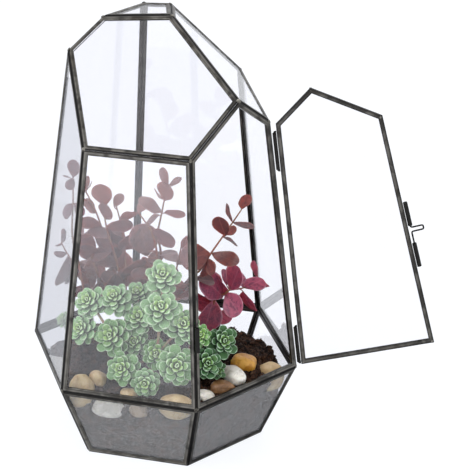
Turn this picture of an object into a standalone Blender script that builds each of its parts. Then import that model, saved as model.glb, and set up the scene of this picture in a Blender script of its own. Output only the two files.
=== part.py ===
"""A tall geometric glass terrarium with an open door, planted with succulents and red-leaved sprays.

The case is a faceted glass body: a hexagonal base that widens to a ring, six walls that lean in towards
one apex, and three sloping roof panes that cut them off. Every pane sits in a metal channel of its own,
mitred against its neighbours. The fifth side is a doorway. Its door hangs on two wire pins in tubes on
the right edge, and a wire bolt on its free edge slides down into a keeper tube on the case.

Metres, +Z up. The origin is the middle of the underside, and the front pane faces -Y.
"""

import math
import random
from typing import NamedTuple

import bmesh
import bpy
from mathutils import Matrix, Vector, noise

MM = 0.001

# Case: driving sizes
RING_RADIUS = 125 * MM
BASE_RADIUS = 93.3 * MM
BASE_DEPTH = 71.9 * MM
WALL_APEX = 998 * MM  # height above the ring where all six walls would meet
SIDES = ("front", "doorway", "right", "back", "back_left", "left")
FIRST_CORNER = -120  # heading in degrees of the ring corner left of the front pane


class Roof(NamedTuple):
    """A roof plane: its height on the axis, its slope in degrees and the heading it rises towards."""

    height: float
    slope: float
    heading: float


ROOF_FRONT = Roof(353.7 * MM, 34.4, 88.8)
ROOF_RIGHT = Roof(389.3 * MM, 43.0, 202.2)
ROOF_TOP = Roof(382.4 * MM, 5.6, -23.4)

# Metal channel round each pane
GAP = 0.3 * MM  # between pieces that touch
CHANNEL_WIDTH = 5.0 * MM
CHANNEL_DEPTH = 3.6 * MM
CHANNEL_LIP = 0.5 * MM
CHANNEL_WEB = 0.6 * MM
CHANNEL_ROUND = 0.7 * MM
GLASS = 2.0 * MM

# Door, hinges and latch
DOOR_INSET = 2.9 * MM
HINGE_INSET = 1.05 * MM  # of the edge beside the hinge tubes
DOOR_LIFT = 0.5 * MM  # clearance of the closed door over the door frame of the case
DOOR_OPEN = 136.8  # degrees from closed, as it stands
TUBE_SIDES = 12
HINGE_TUBE = (1.75 * MM, 1.3 * MM, 34 * MM)  # outer radius, bore radius, length
HINGE_HEIGHTS = (5.5 * MM, 191.5 * MM)  # lower end of each hinge tube, along the edge
HINGE_WIRE = 0.9 * MM
LATCH_TUBE = (2.0 * MM, 1.2 * MM, 22.5 * MM)
LATCH_HEIGHTS = (75.5 * MM, 115.5 * MM)  # lower end of each latch tube, along the free edge
KEEPER_TOP_GAP = 1.2 * MM
BOLT_WIRE = 0.8 * MM
BOLT_TRAVEL = 9 * MM
BOLT_STOP = 2.5 * MM  # between the lower tube and the handle when the bolt is down
HANDLE_REACH = 11 * MM
HANDLE_WIDTH = 4 * MM
BEND_RADIUS = 1.6 * MM

# Soil
SOIL_CLEAR = 1.0 * MM  # from the inner face of the channels
SOIL_TOP = 80.8 * MM
SOIL_CENTRE = (10 * MM, -59 * MM)  # the heap is level within its reach of this point, and falls away behind
SOIL_REACH = 92 * MM
SOIL_FALL = 0.5
SOIL_BEND = 8 * MM  # how gently the level part turns into the slope
FRONT_LINE = -30 * MM  # in front of this the heap slopes down to the glass
FRONT_FALL = 0.3
SOIL_HOLLOWS = (((118, -5), 24, 24), ((-116, -8), 12, 22))  # corner, depth and width of each dip in mm
SOIL_LIP = 2 * MM  # of straight side above the ring
SOIL_HEADINGS = 36
SOIL_RINGS = (0.25, 0.5, 0.72, 0.88)
CRUMB_SIZE = 11 * MM
CRUMB_HEIGHT = 1.5 * MM
PEBBLE_SIDES = 10


class Material(NamedTuple):
    """Colour (linear), roughness, metallic and transmission of a finish."""

    colour: tuple
    roughness: float
    metallic: float = 0.0
    transmission: float = 0.0


FINISHES = {
    "bronze": Material((0.045, 0.042, 0.038), 0.45, 1.0),
    "clear_glass": Material((0.93, 0.95, 0.97), 0.03, 0.0, 0.9),
    "peat": Material((0.025, 0.014, 0.009), 0.95),
    "amber_stone": Material((0.55, 0.3, 0.08), 0.4),
    "white_stone": Material((0.72, 0.68, 0.6), 0.4),
    "tan_stone": Material((0.45, 0.32, 0.2), 0.45),
    "rust_stone": Material((0.36, 0.15, 0.06), 0.45),
    "grey_stone": Material((0.3, 0.25, 0.2), 0.5),
    "succulent_leaf": Material((0.2, 0.42, 0.2), 0.5),
    "burgundy_leaf": Material((0.14, 0.035, 0.035), 0.55),
    "crimson_leaf": Material((0.33, 0.03, 0.06), 0.5),
}


class Pebble(NamedTuple):
    """A pebble: ground position, half sizes and heading, and how far its middle lies above the soil."""

    name: str
    finish: str
    place: tuple  # mm
    half: tuple  # mm
    heading: float
    lift: float  # as a share of its half height


PEBBLES = (
    Pebble("pebble_amber", "amber_stone", (82, -26), (11, 8.5, 8), 5, 0.3),
    Pebble("pebble_white", "white_stone", (82, -47), (13.5, 8, 8), -38, 0.3),
    Pebble("pebble_tan_corner", "tan_stone", (101, -4), (12, 11, 12), 50, 0.15),
    Pebble("pebble_orange", "rust_stone", (74, -63), (11, 7, 6.5), 12, 0.4),
    Pebble("pebble_chip", "white_stone", (60.5, -73), (9.5, 6, 4.5), -23, 0.4),
    Pebble("pebble_tan_left", "tan_stone", (-52.4, -88), (11.5, 9, 15.5), 20, -0.02),
    Pebble("pebble_pale", "white_stone", (-40, -73), (8, 6.5, 7.5), -10, 0.45),
    Pebble("pebble_white_front", "white_stone", (-24, -93), (15, 6.5, 8.5), 4, -1.3),
    Pebble("pebble_small", "tan_stone", (-7, -84), (8, 6.5, 5.5), -20, 0.3),
    Pebble("pebble_grey", "grey_stone", (5, -92), (9, 6, 6.5), 0, -0.9),
    Pebble("pebble_tan_front", "tan_stone", (37, -87), (15, 9, 11), 8, -0.1),
)


class Rosette(NamedTuple):
    """A succulent rosette: where its heart is and how wide it spreads, in mm."""

    heart: tuple
    spread: float


TRUNK_RADIUS = 2.4 * MM
TRUNK_HEIGHT = 12 * MM
BRANCH_RADIUS = 1.2 * MM
ROOT_DEPTH = 16 * MM
DIRECTNESS = 0.6  # how much a branch would rather be short all the way from the trunk
ROSETTE_FOCUS = Vector((0, -18, 62)) * MM  # the rosettes face away from this point
PETAL_RINGS = (  # petals, length as a share of the spread's half, tilt and turn in degrees, half outline
    (6, 1.0, 8, 0, ((0.13, 0.05), (0.6, 0.31), (0.88, 0.25))),
    (4, 0.72, 38, 20, ((0.1, 0.07), (0.68, 0.42))),
)

SUCCULENTS = {
    "succulent_front": ((4, -50), (
        Rosette((-55, -50, 135), 29), Rosette((-31, -50, 142), 29), Rosette((-17, -27, 138), 24),
        Rosette((12, -45, 167), 31), Rosette((-59, -60, 112), 27), Rosette((-86, -28, 102), 15),
        Rosette((-29, -66, 112), 33), Rosette((-8, -52, 127), 29), Rosette((17, -66, 146), 34),
        Rosette((35, -58, 129), 31), Rosette((-10, -56, 104), 24), Rosette((-14, -82, 90), 29),
        Rosette((9, -87, 81), 25), Rosette((12, -63, 99), 27), Rosette((35, -78, 98), 34),
        Rosette((51, -60, 121), 20),
    )),
    "succulent_right": ((63, -42), (
        Rosette((69, -49, 113), 27), Rosette((59, -66, 98), 28), Rosette((66, -56, 87), 16),
    )),
}


class Stem(NamedTuple):
    """A leafy stem: control points in mm above its root, and what its leaf pairs do."""

    points: tuple
    leaf_lengths: tuple  # mm, from the lowest pair to the tip
    first_pair: float  # share of the stem where the lowest pair grows
    heading: float  # of the lowest pair, in degrees


STEM_RADIUS = 1.3 * MM
LEAF_THICK = 0.8 * MM
LEAF_SUNK = 0.5 * MM  # from the stem's axis to the leaf's foot
LEAF_TURN = 90  # each pair stands across the one below

SPRAYS = {
    "spray_left": ("burgundy_leaf", (
        Stem(((-68, -12, 100), (-74, -18, 150), (-80, -20, 200), (-79, -18, 242)),
             (18, 19, 18, 17, 15, 13, 12), 0.3, 20),
    )),
    "spray_mid_left": ("burgundy_leaf", (
        Stem(((-38, 4, 110), (-45, 2, 150), (-54, -2, 190), (-57, -2, 216)), (24, 26, 22, 22, 22), 0.1, 30),
        Stem(((-38, 4, 110), (-52, 12, 150), (-65, 12, 190), (-70, 10, 222)), (22, 21, 19, 16), 0.42, 70),
        Stem(((-38, 4, 110), (-38, 8, 150), (-36, 4, 180), (-35, 0, 200)), (25, 26, 25, 20), 0.12, 60),
    )),
    "spray_mid": ("burgundy_leaf", (
        Stem(((-6, 2, 110), (-4, 6, 160), (-2, 2, 205), (0, -2, 238)),
             (26, 27, 27, 26, 23, 18, 14), 0.16, 25),
        Stem(((-6, 2, 110), (6, 10, 140), (12, 12, 170)), (24, 24, 22), 0.3, 0),
    )),
    "spray_right": ("burgundy_leaf", (
        Stem(((31, -23, 125), (41, -25, 165), (52, -26, 188), (61, -28, 205), (71, -29, 220), (81, -30, 236)),
             (20, 23, 22, 20, 16, 13), 0.42, 55),
    )),
    "spray_crimson": ("crimson_leaf", (
        Stem(((42, 2, 112), (50, -4, 135), (63, -7, 147), (78, -5, 152), (88, -1, 154)),
             (24, 23, 22, 18, 13), 0.35, 75),
    )),
}


class Plane(NamedTuple):
    """All points p with normal . p equal to offset."""

    normal: Vector
    offset: float


def meet(*planes):
    """The point where three planes cross."""
    return Matrix([p.normal for p in planes]).inverted() @ Vector([p.offset for p in planes])


def heading_vector(degrees, z=0.0):
    """A level unit vector at a heading, raised by z."""
    angle = math.radians(degrees)
    return Vector((math.cos(angle), math.sin(angle), z))


def plane_through(a, b, c, away_from):
    """The plane of three points, its normal pointing away from a fourth."""
    normal = (b - a).cross(c - a).normalized()
    if normal.dot(away_from - a) > 0:
        normal.negate()
    return Plane(normal, normal.dot(a))


def roof_plane(roof):
    """The plane of a roof pane, its normal pointing up."""
    rise = math.tan(math.radians(roof.slope))
    normal = heading_vector(roof.heading) * -rise + Vector((0, 0, 1))
    length = normal.length
    return Plane(normal / length, roof.height / length)


class Panel:
    """A flat face of the case, with its corners in order round the outward normal."""

    def __init__(self, corners, centre, turns=None):
        normal = (corners[1] - corners[0]).cross(corners[2] - corners[1]).normalized()
        if normal.dot(corners[0] - centre) < 0:
            raise ValueError("corners must run anticlockwise seen from outside")
        self.corners = corners
        self.normal = normal
        self.turns = turns or [0.0] * len(corners)
        following = corners[1:] + corners[:1]
        self.inward = [normal.cross(b - a).normalized() for a, b in zip(corners, following)]

    def loop(self, insets, depth):
        """The outline with each edge moved inwards, at a depth below the outer face."""
        face = Plane(self.normal, self.normal.dot(self.corners[0]) - depth)
        edges = [Plane(n, n.dot(c) + inset) for n, c, inset in zip(self.inward, self.corners, insets)]
        return [meet(face, edges[i - 1], edges[i]) for i in range(len(edges))]

    def mitre(self, depth, extra=0.0):
        """The inset of each edge on its mitre with the next panel, at a depth, plus an extra."""
        clear = GAP / 2 if any(self.turns) else 0.0
        return [depth * math.tan(t / 2) + clear / math.cos(t / 2) + extra for t in self.turns]

    def even(self, inset):
        """The same inset for every edge."""
        return [inset] * len(self.corners)

    def glass_edge(self):
        """The inset of the glass, which stops just short of the channel's web."""
        return self.mitre(CHANNEL_DEPTH - CHANNEL_LIP, CHANNEL_WEB + GAP)


def case_corners():
    """Every corner of the case, by name."""
    inside = Vector((0, 0, BASE_DEPTH))
    ring = [heading_vector(FIRST_CORNER + 60 * k) * RING_RADIUS + inside for k in range(6)]
    base = [heading_vector(FIRST_CORNER + 60 * k) * BASE_RADIUS for k in range(6)]
    apex = Vector((0, 0, BASE_DEPTH + WALL_APEX))
    walls = {
        side: plane_through(ring[k], ring[(k + 1) % 6], apex, inside) for k, side in enumerate(SIDES)
    }
    front, right, top = roof_plane(ROOF_FRONT), roof_plane(ROOF_RIGHT), roof_plane(ROOF_TOP)
    corners = {f"ring_{k}": point for k, point in enumerate(ring)}
    corners.update({f"base_{k}": point for k, point in enumerate(base)})
    corners.update(
        front_left=meet(front, walls["front"], walls["left"]),
        front_right=meet(front, walls["front"], walls["doorway"]),
        doorway_peak=meet(front, right, walls["doorway"]),
        right=meet(right, walls["doorway"], walls["right"]),
        back_right=meet(right, walls["right"], walls["back"]),
        back_peak=meet(top, walls["back"], walls["back_left"]),
        left=meet(front, walls["back_left"], walls["left"]),
        roof_left=meet(front, top, walls["back_left"]),
        roof_middle=meet(front, top, right),
        roof_right=meet(right, top, walls["back"]),
    )
    return corners


def case_outlines():
    """The corner names of every face, anticlockwise seen from outside."""
    outlines = {"base": [f"base_{k}" for k in reversed(range(6))]}
    for k, side in enumerate(SIDES):
        after = (k + 1) % 6
        outlines[f"base_{side}"] = [f"base_{k}", f"base_{after}", f"ring_{after}", f"ring_{k}"]
    outlines.update(
        wall_front=["ring_0", "ring_1", "front_right", "front_left"],
        doorway=["ring_1", "ring_2", "right", "doorway_peak", "front_right"],
        wall_right=["ring_2", "ring_3", "back_right", "right"],
        wall_back=["ring_3", "ring_4", "back_peak", "roof_right", "back_right"],
        wall_back_left=["ring_4", "ring_5", "left", "roof_left", "back_peak"],
        wall_left=["ring_5", "ring_0", "front_left", "left"],
        roof_front=["front_left", "front_right", "doorway_peak", "roof_middle", "roof_left", "left"],
        roof_right=["right", "back_right", "roof_right", "roof_middle", "doorway_peak"],
        roof_top=["roof_left", "roof_middle", "roof_right", "back_peak"],
    )
    return outlines


def case_panels():
    """Every face of the case as a Panel that knows how far each neighbour turns away from it."""
    corners, outlines = case_corners(), case_outlines()
    centre = Vector((0, 0, 2 * BASE_DEPTH))
    flat = {name: Panel([corners[c] for c in outline], centre) for name, outline in outlines.items()}
    beside = {}
    for name, outline in outlines.items():
        for pair in zip(outline, outline[1:] + outline[:1]):
            beside.setdefault(frozenset(pair), []).append(name)
    panels = {}
    for name, outline in outlines.items():
        turns = []
        for pair in zip(outline, outline[1:] + outline[:1]):
            other = next(n for n in beside[frozenset(pair)] if n != name)
            turns.append(flat[name].normal.angle(flat[other].normal))
        panels[name] = Panel(flat[name].corners, centre, turns)
    return panels


def clear_scene():
    """Remove every object that the scene starts with."""
    for obj in list(bpy.data.objects):
        bpy.data.objects.remove(obj, do_unlink=True)


def new_collection(name):
    """A collection linked to the scene."""
    collection = bpy.data.collections.new(name)
    bpy.context.scene.collection.children.link(collection)
    return collection


def make_materials():
    """One Principled material for each finish."""
    made = {}
    for name, finish in FINISHES.items():
        material = bpy.data.materials.new(name)
        material.use_nodes = True
        shader = material.node_tree.nodes["Principled BSDF"]
        shader.inputs["Base Color"].default_value = (*finish.colour, 1)
        shader.inputs["Roughness"].default_value = finish.roughness
        shader.inputs["Metallic"].default_value = finish.metallic
        shader.inputs["Transmission Weight"].default_value = finish.transmission
        made[name] = material
    return made


clear_scene()
PARTS = new_collection("terrarium")
CUTTERS = new_collection("cutters")
MATERIALS = make_materials()


def add_piece(name, data, finish, parent=None, matrix=None):
    """Put a mesh or a curve in the model as a named piece."""
    data.materials.clear()
    data.materials.append(MATERIALS[finish])
    obj = bpy.data.objects.new(name, data)
    PARTS.objects.link(obj)
    obj.parent = parent
    if matrix:
        obj.matrix_local = matrix
    return obj


def mesh_from(name, build, split=False):
    """A closed mesh with its faces outwards, filled by build(bm), and split where faces aren't flat."""
    bm = bmesh.new()
    build(bm)
    if split:
        bmesh.ops.triangulate(bm, faces=bm.faces)
    bmesh.ops.recalc_face_normals(bm, faces=bm.faces)
    mesh = bpy.data.meshes.new(name)
    bm.to_mesh(mesh)
    bm.free()
    return mesh


def sweep_loops(name, loops, closed, split=False):
    """A skin over loops of equal length: a closed tube of loops, or a stack with a cap at each end."""

    def build(bm):
        rings = [[bm.verts.new(p) for p in loop] for loop in loops]
        pairs = list(zip(rings, rings[1:] + rings[:1])) if closed else list(zip(rings, rings[1:]))
        for low, high in pairs:
            for i in range(len(low)):
                j = (i + 1) % len(low)
                bm.faces.new((low[i], low[j], high[j], high[i]))
        if not closed:
            bm.faces.new(rings[0])
            bm.faces.new(rings[-1])

    return mesh_from(name, build, split)


def channel_loops(panel):
    """The section of a U-shaped channel, run round a panel: outer face, web, lip, slot for the glass."""
    inner, deep = panel.even(CHANNEL_WIDTH), CHANNEL_DEPTH
    web = panel.mitre(deep - CHANNEL_LIP, CHANNEL_WEB)
    soft = CHANNEL_ROUND
    return [
        panel.loop(panel.mitre(0, soft), 0),
        panel.loop(panel.mitre(soft * 0.3, soft * 0.3), soft * 0.3),
        panel.loop(panel.mitre(soft), soft),
        panel.loop(panel.mitre(deep), deep),
        panel.loop(inner, deep),
        panel.loop(inner, deep - CHANNEL_LIP),
        panel.loop(web, deep - CHANNEL_LIP),
        panel.loop(web, CHANNEL_LIP),
        panel.loop(inner, CHANNEL_LIP),
        panel.loop(panel.even(CHANNEL_WIDTH - CHANNEL_LIP / 2), 0),
    ]


def jamb_loops(panel):
    """The section of the folded frame round the doorway, which holds no glass."""
    soft = CHANNEL_ROUND
    return [
        panel.loop(panel.mitre(0, soft), 0),
        panel.loop(panel.mitre(soft * 0.3, soft * 0.3), soft * 0.3),
        panel.loop(panel.mitre(soft), soft),
        panel.loop(panel.mitre(CHANNEL_DEPTH), CHANNEL_DEPTH),
        panel.loop(panel.even(CHANNEL_WIDTH), CHANNEL_DEPTH),
        panel.loop(panel.even(CHANNEL_WIDTH), CHANNEL_LIP),
        panel.loop(panel.even(CHANNEL_WIDTH - CHANNEL_LIP), 0),
    ]


def foot_loops(panel):
    """The section of the base frame, which holds its glass flush with the underside."""
    soft, over = CHANNEL_ROUND, GLASS + GAP
    rebate = [inset - GAP for inset in panel.glass_edge()]
    return [
        panel.loop(rebate, 0),
        panel.loop(panel.mitre(0, soft), 0),
        panel.loop(panel.mitre(soft), soft),
        panel.loop(panel.mitre(CHANNEL_DEPTH), CHANNEL_DEPTH),
        panel.loop(panel.even(CHANNEL_WIDTH + 1.5 * MM), CHANNEL_DEPTH),
        panel.loop(panel.even(CHANNEL_WIDTH + 1.5 * MM), over),
        panel.loop(rebate, over),
    ]


def glass_loops(panel, depth):
    """The two outlines of a pane whose outer face lies at a depth."""
    return [panel.loop(panel.glass_edge(), d) for d in (depth, depth + GLASS)]


def build_case(panels):
    """Every pane of the case in its channel, and the frame round the doorway."""
    pane_depth = CHANNEL_LIP + GAP
    for name, panel in panels.items():
        if name == "doorway":
            add_piece("doorway_frame", sweep_loops("doorway_frame", jamb_loops(panel), True), "bronze")
            continue
        flush = name == "base"
        loops = foot_loops(panel) if flush else channel_loops(panel)
        add_piece(f"{name}_channel", sweep_loops(f"{name}_channel", loops, True), "bronze")
        glass = glass_loops(panel, 0 if flush else pane_depth)
        add_piece(f"{name}_glass", sweep_loops(f"{name}_glass", glass, False), "clear_glass")


def frame_on(origin, x, y, z):
    """A matrix with the given origin and unit axes."""
    rows = Matrix((x, y, z)).transposed().to_4x4()
    return Matrix.Translation(origin) @ rows


def empty(name, parent, matrix):
    """A guide on a joint's axis."""
    guide = bpy.data.objects.new(name, None)
    PARTS.objects.link(guide)
    guide.parent = parent
    guide.matrix_local = matrix
    return guide


def rounded_path(points, radius, steps=3):
    """The points with each corner between straight runs replaced by a short arc."""
    path = [points[0]]
    for before, corner, after in zip(points, points[1:], points[2:]):
        back, on = (before - corner).normalized(), (after - corner).normalized()
        reach = min(radius, 0.49 * (before - corner).length, 0.49 * (after - corner).length)
        start, end = corner + back * reach, corner + on * reach
        for k in range(steps + 1):
            t = k / steps
            path.append(start.lerp(corner, t).lerp(corner.lerp(end, t), t))
    return path + [points[-1]]


def wire_curve(name, points, radius, resolution=2):
    """A round wire along a path, as a curve with filled caps."""
    curve = bpy.data.curves.new(name, "CURVE")
    curve.dimensions = "3D"
    curve.bevel_depth = radius
    curve.bevel_resolution = resolution
    curve.use_fill_caps = True
    spline = curve.splines.new("POLY")
    spline.points.add(len(points) - 1)
    for point, place in zip(spline.points, points):
        point.co = (*place, 1)
    return curve


def tube_mesh(name, size):
    """A short tube up the Z axis from the origin: a rectangle turned about the axis."""
    outer, bore, length = size
    profile = [(outer, length), (outer, 0), (bore, 0), (bore, length)]
    mesh = bpy.data.meshes.new(name)
    mesh.from_pydata([(r, 0, z) for r, z in profile], [(0, 1), (1, 2), (2, 3), (3, 0)], [])
    turned = bpy.data.objects.new(name, mesh)
    CUTTERS.objects.link(turned)
    screw = turned.modifiers.new("turn", "SCREW")
    screw.steps = screw.render_steps = TUBE_SIDES
    screw.use_merge_vertices = True
    screw.merge_threshold = 0.00001
    tube = welded_mesh(turned)
    bpy.data.objects.remove(turned)
    tube.shade_smooth()
    tube.set_sharp_from_angle(angle=math.radians(40))
    return tube


def applied_mesh(obj):
    """A plain mesh of the object with its modifiers applied."""
    graph = bpy.context.evaluated_depsgraph_get()
    return bpy.data.meshes.new_from_object(obj.evaluated_get(graph))


def welded_mesh(obj):
    """The same, with the seams of a turned shape or of a curve's caps closed."""
    mesh = applied_mesh(obj)
    bm = bmesh.new()
    bm.from_mesh(mesh)
    bmesh.ops.remove_doubles(bm, verts=bm.verts, dist=0.000005)
    bm.to_mesh(mesh)
    bm.free()
    return mesh


def build_door(panels):
    """The door leaf on its hinge axis, its hinges, and the latch on its free edge."""
    doorway, right = panels["doorway"], panels["wall_right"]
    foot, head = doorway.corners[1], doorway.corners[2]
    up = (head - foot).normalized()
    out = doorway.normal
    across = out.cross(up)  # towards the free edge when closed
    edge_out = (doorway.normal + right.normal).normalized()
    axis_point = foot + edge_out * (HINGE_TUBE[0] + GAP)
    closed = frame_on(axis_point, across, out, up)
    hinge = empty("door_axis", None, closed @ Matrix.Rotation(math.radians(DOOR_OPEN), 4, "Z"))

    insets = doorway.even(DOOR_INSET)
    insets[1] = HINGE_INSET
    leaf_corners = doorway.loop(insets, -(DOOR_LIFT + CHANNEL_DEPTH))
    leaf = Panel(leaf_corners, Vector((0, 0, 2 * BASE_DEPTH)))
    for name, loops, ring, finish in (
        ("door_channel", channel_loops(leaf), True, "bronze"),
        ("door_glass", glass_loops(leaf, CHANNEL_LIP + GAP), False, "clear_glass"),
    ):
        mesh = sweep_loops(name, loops, ring)
        mesh.transform(closed.inverted())
        add_piece(name, mesh, finish, hinge)

    leaf_edge = (closed.inverted() @ leaf.corners[1]).x - GAP
    for label, low in zip(("lower", "upper"), HINGE_HEIGHTS):
        place = closed @ Matrix.Translation((0, 0, low))
        add_piece(f"hinge_tube_{label}", tube_mesh("hinge_tube", HINGE_TUBE), "bronze", None, place)
        ends = (low - HINGE_WIRE - GAP, low + HINGE_TUBE[2] + HINGE_WIRE + GAP)
        corners = [Vector((x, 0, z)) for x, z in (
            (leaf_edge, ends[0]), (0, ends[0]), (0, ends[1]), (leaf_edge, ends[1]))]
        wire = wire_curve(f"hinge_pin_{label}", rounded_path(corners, HINGE_WIRE * 1.2), HINGE_WIRE)
        add_piece(f"hinge_pin_{label}", wire, "bronze", hinge)

    mid = leaf.loop(leaf.even(0), CHANNEL_DEPTH / 2)
    rise = (mid[4] - mid[0]).normalized()
    aside = -leaf.inward[4]
    line = frame_on(mid[0] + aside * (LATCH_TUBE[0] + GAP), aside, rise.cross(aside), rise)
    latch = closed.inverted() @ line
    for label, low in zip(("lower", "upper"), LATCH_HEIGHTS):
        place = latch @ Matrix.Translation((0, 0, low))
        add_piece(f"latch_tube_{label}", tube_mesh("latch_tube", LATCH_TUBE), "bronze", hinge, place)
    keeper_low = LATCH_HEIGHTS[0] - KEEPER_TOP_GAP - LATCH_TUBE[2]
    add_piece("keeper_tube", tube_mesh("keeper_tube", LATCH_TUBE), "bronze", None,
              line @ Matrix.Translation((0, 0, keeper_low)))

    bolt_axis = empty("bolt_axis", hinge, latch)
    tip = LATCH_HEIGHTS[0] + 1 * MM
    tail = LATCH_HEIGHTS[1] + LATCH_TUBE[2] - 2 * MM
    leg = LATCH_HEIGHTS[0] + LATCH_TUBE[2] + BOLT_TRAVEL + BOLT_STOP
    corners = [Vector((x, 0, z)) for x, z in (
        (0, tip), (0, leg), (HANDLE_REACH, leg),
        (HANDLE_REACH, leg + HANDLE_WIDTH), (0, leg + HANDLE_WIDTH), (0, tail))]
    add_piece("latch_bolt", wire_curve("latch_bolt", rounded_path(corners, BEND_RADIUS), BOLT_WIRE),
              "bronze", bolt_axis)


def soil_height(x, y):
    """The top of the soil: level in front of the middle, falling to the back, the glass and two corners."""
    away = (math.hypot(x - SOIL_CENTRE[0], y - SOIL_CENTRE[1]) - SOIL_REACH) / SOIL_BEND
    height = SOIL_TOP - SOIL_FALL * SOIL_BEND * math.log1p(math.exp(away))
    height -= FRONT_FALL * max(0.0, FRONT_LINE - y)
    for corner, depth, width in SOIL_HOLLOWS:
        apart = math.hypot(x / MM - corner[0], y / MM - corner[1]) / width
        height -= depth * MM * math.exp(-apart * apart)
    return height


def room_inside(panels, point, depth):
    """How far a point lies inside every face of the case, at a depth below the outer faces."""
    return min(p.normal.dot(p.corners[0]) - depth - p.normal.dot(point) for p in panels.values())


def soil_reach(panels, heading, height):
    """How far the soil may spread from the axis at a heading and a height."""
    depth = CHANNEL_DEPTH + SOIL_CLEAR
    level = Vector((0, 0, height))
    direction = heading_vector(heading)
    reaches = []
    for panel in panels.values():
        closing = panel.normal.dot(direction)
        if closing > 0.05:
            room = panel.normal.dot(panel.corners[0]) - depth - panel.normal.dot(level)
            reaches.append(room / closing)
    return min(reaches)


def crumbled(x, y):
    """The soil's height with the unevenness of loose peat."""
    grain = noise.noise(Vector((x, y, 0)) / CRUMB_SIZE)
    return soil_height(x, y) + CRUMB_HEIGHT * grain


def soil_mesh(panels):
    """The heap of soil: rings of points over its top, then down inside the base glass."""
    headings = [360 * k / SOIL_HEADINGS for k in range(SOIL_HEADINGS)]
    edge = []
    for heading in headings:
        direction = heading_vector(heading)
        reach = soil_reach(panels, heading, BASE_DEPTH)
        top = soil_height(direction.x * reach, direction.y * reach)
        reach = soil_reach(panels, heading, top)
        edge.append(direction * reach + Vector((0, 0, top)))
    floor = [CHANNEL_DEPTH + GAP] * SOIL_HEADINGS
    shoulder = [min(rim.z - SOIL_LIP, BASE_DEPTH) for rim in edge]
    loops = []
    for heights in (floor, shoulder):
        loops.append([heading_vector(heading) * soil_reach(panels, heading, height) + Vector((0, 0, height))
                      for heading, height in zip(headings, heights)])
    loops.append(edge)
    for share in reversed(SOIL_RINGS):
        loops.append([Vector((rim.x * share, rim.y * share, crumbled(rim.x * share, rim.y * share)))
                      for rim in edge])
    return sweep_loops("soil", loops, False, split=True)


def pebble_mesh(panels, pebble, swell=0.0):
    """A water-worn pebble on the soil, pushed clear of the glass, or swollen to cut its own bed."""
    half = [h * MM for h in pebble.half]
    x, y = (v * MM for v in pebble.place)
    middle = Vector((x, y, soil_height(x, y) + pebble.lift * half[2]))
    turn = Matrix.Rotation(math.radians(pebble.heading), 4, "Z")
    seed = Vector((x, y, 0)) * 997
    bm = bmesh.new()
    bmesh.ops.create_uvsphere(bm, u_segments=PEBBLE_SIDES, v_segments=PEBBLE_SIDES // 2, radius=1)
    for vert in bm.verts:
        unit = vert.co.normalized()
        lumpy = 1 + 0.12 * noise.noise(unit * 1.3 + seed)
        round_off = sum(abs(c) ** 2.5 for c in unit) ** (-1 / 2.5)
        place = Vector([c * h for c, h in zip(unit, half)]) * lumpy * round_off
        vert.co = turn @ (place + unit * swell)
    limit = CHANNEL_DEPTH + GAP - swell
    for panel in panels.values():
        room = min(panel.normal.dot(panel.corners[0] - middle - v.co) for v in bm.verts) - limit
        if room < 0:
            middle += panel.normal * room
    bmesh.ops.translate(bm, verts=bm.verts, vec=middle)
    bmesh.ops.triangulate(bm, faces=bm.faces)  # its four-sided faces aren't flat
    mesh = bpy.data.meshes.new(pebble.name)
    bm.to_mesh(mesh)
    bm.free()
    mesh.shade_smooth()
    return mesh


def guide(name, mesh):
    """A cutter, kept out of the render."""
    obj = bpy.data.objects.new(name, mesh)
    CUTTERS.objects.link(obj)
    obj.hide_render = True
    obj.display_type = "WIRE"
    return obj


def boolean_with(obj, collection, operation):
    """The object's mesh joined with, or cut by, everything in a collection.

    The exact solver leaves slivers where two pebbles share a bed, so this is the manifold one.
    """
    modifier = obj.modifiers.new(operation.lower(), "BOOLEAN")
    modifier.operation = operation
    modifier.operand_type = "COLLECTION"
    modifier.collection = collection
    modifier.solver = "MANIFOLD"
    bpy.context.view_layer.update()
    mesh = applied_mesh(obj)
    obj.modifiers.remove(modifier)
    return mesh


def stem_holes():
    """A plain round hole in the soil for every stem that stands in it."""
    stands = [(trunk, TRUNK_RADIUS) for trunk, _ in SUCCULENTS.values()]
    stands += [(stems[0].points[0][:2], STEM_RADIUS) for _, stems in SPRAYS.values()]
    for (x, y), radius in stands:
        x, y = x * MM, y * MM
        bm = bmesh.new()
        wall = (radius + GAP) / math.cos(math.pi / TUBE_SIDES)
        bmesh.ops.create_cone(bm, cap_ends=True, segments=TUBE_SIDES, radius1=wall, radius2=wall,
                              depth=2 * ROOT_DEPTH)
        bmesh.ops.translate(bm, verts=bm.verts, vec=(x, y, soil_height(x, y)))
        mesh = bpy.data.meshes.new("hole")
        bm.to_mesh(mesh)
        bm.free()
        guide("hole", mesh)


def build_soil(panels):
    """The soil with a bed for each pebble and a hole for each stem, and the pebbles."""
    for pebble in PEBBLES:
        add_piece(pebble.name, pebble_mesh(panels, pebble), pebble.finish)
        guide(f"bed_{pebble.name}", pebble_mesh(panels, pebble, GAP * 1.3))
    stem_holes()
    heap = guide("heap", soil_mesh(panels))
    CUTTERS.objects.unlink(heap)
    PARTS.objects.link(heap)
    mesh = boolean_with(heap, CUTTERS, "DIFFERENCE")
    bpy.data.objects.remove(heap)
    for cutter in list(CUTTERS.objects):
        bpy.data.objects.remove(cutter)
    add_piece("soil", largest_body(mesh), "peat")


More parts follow.
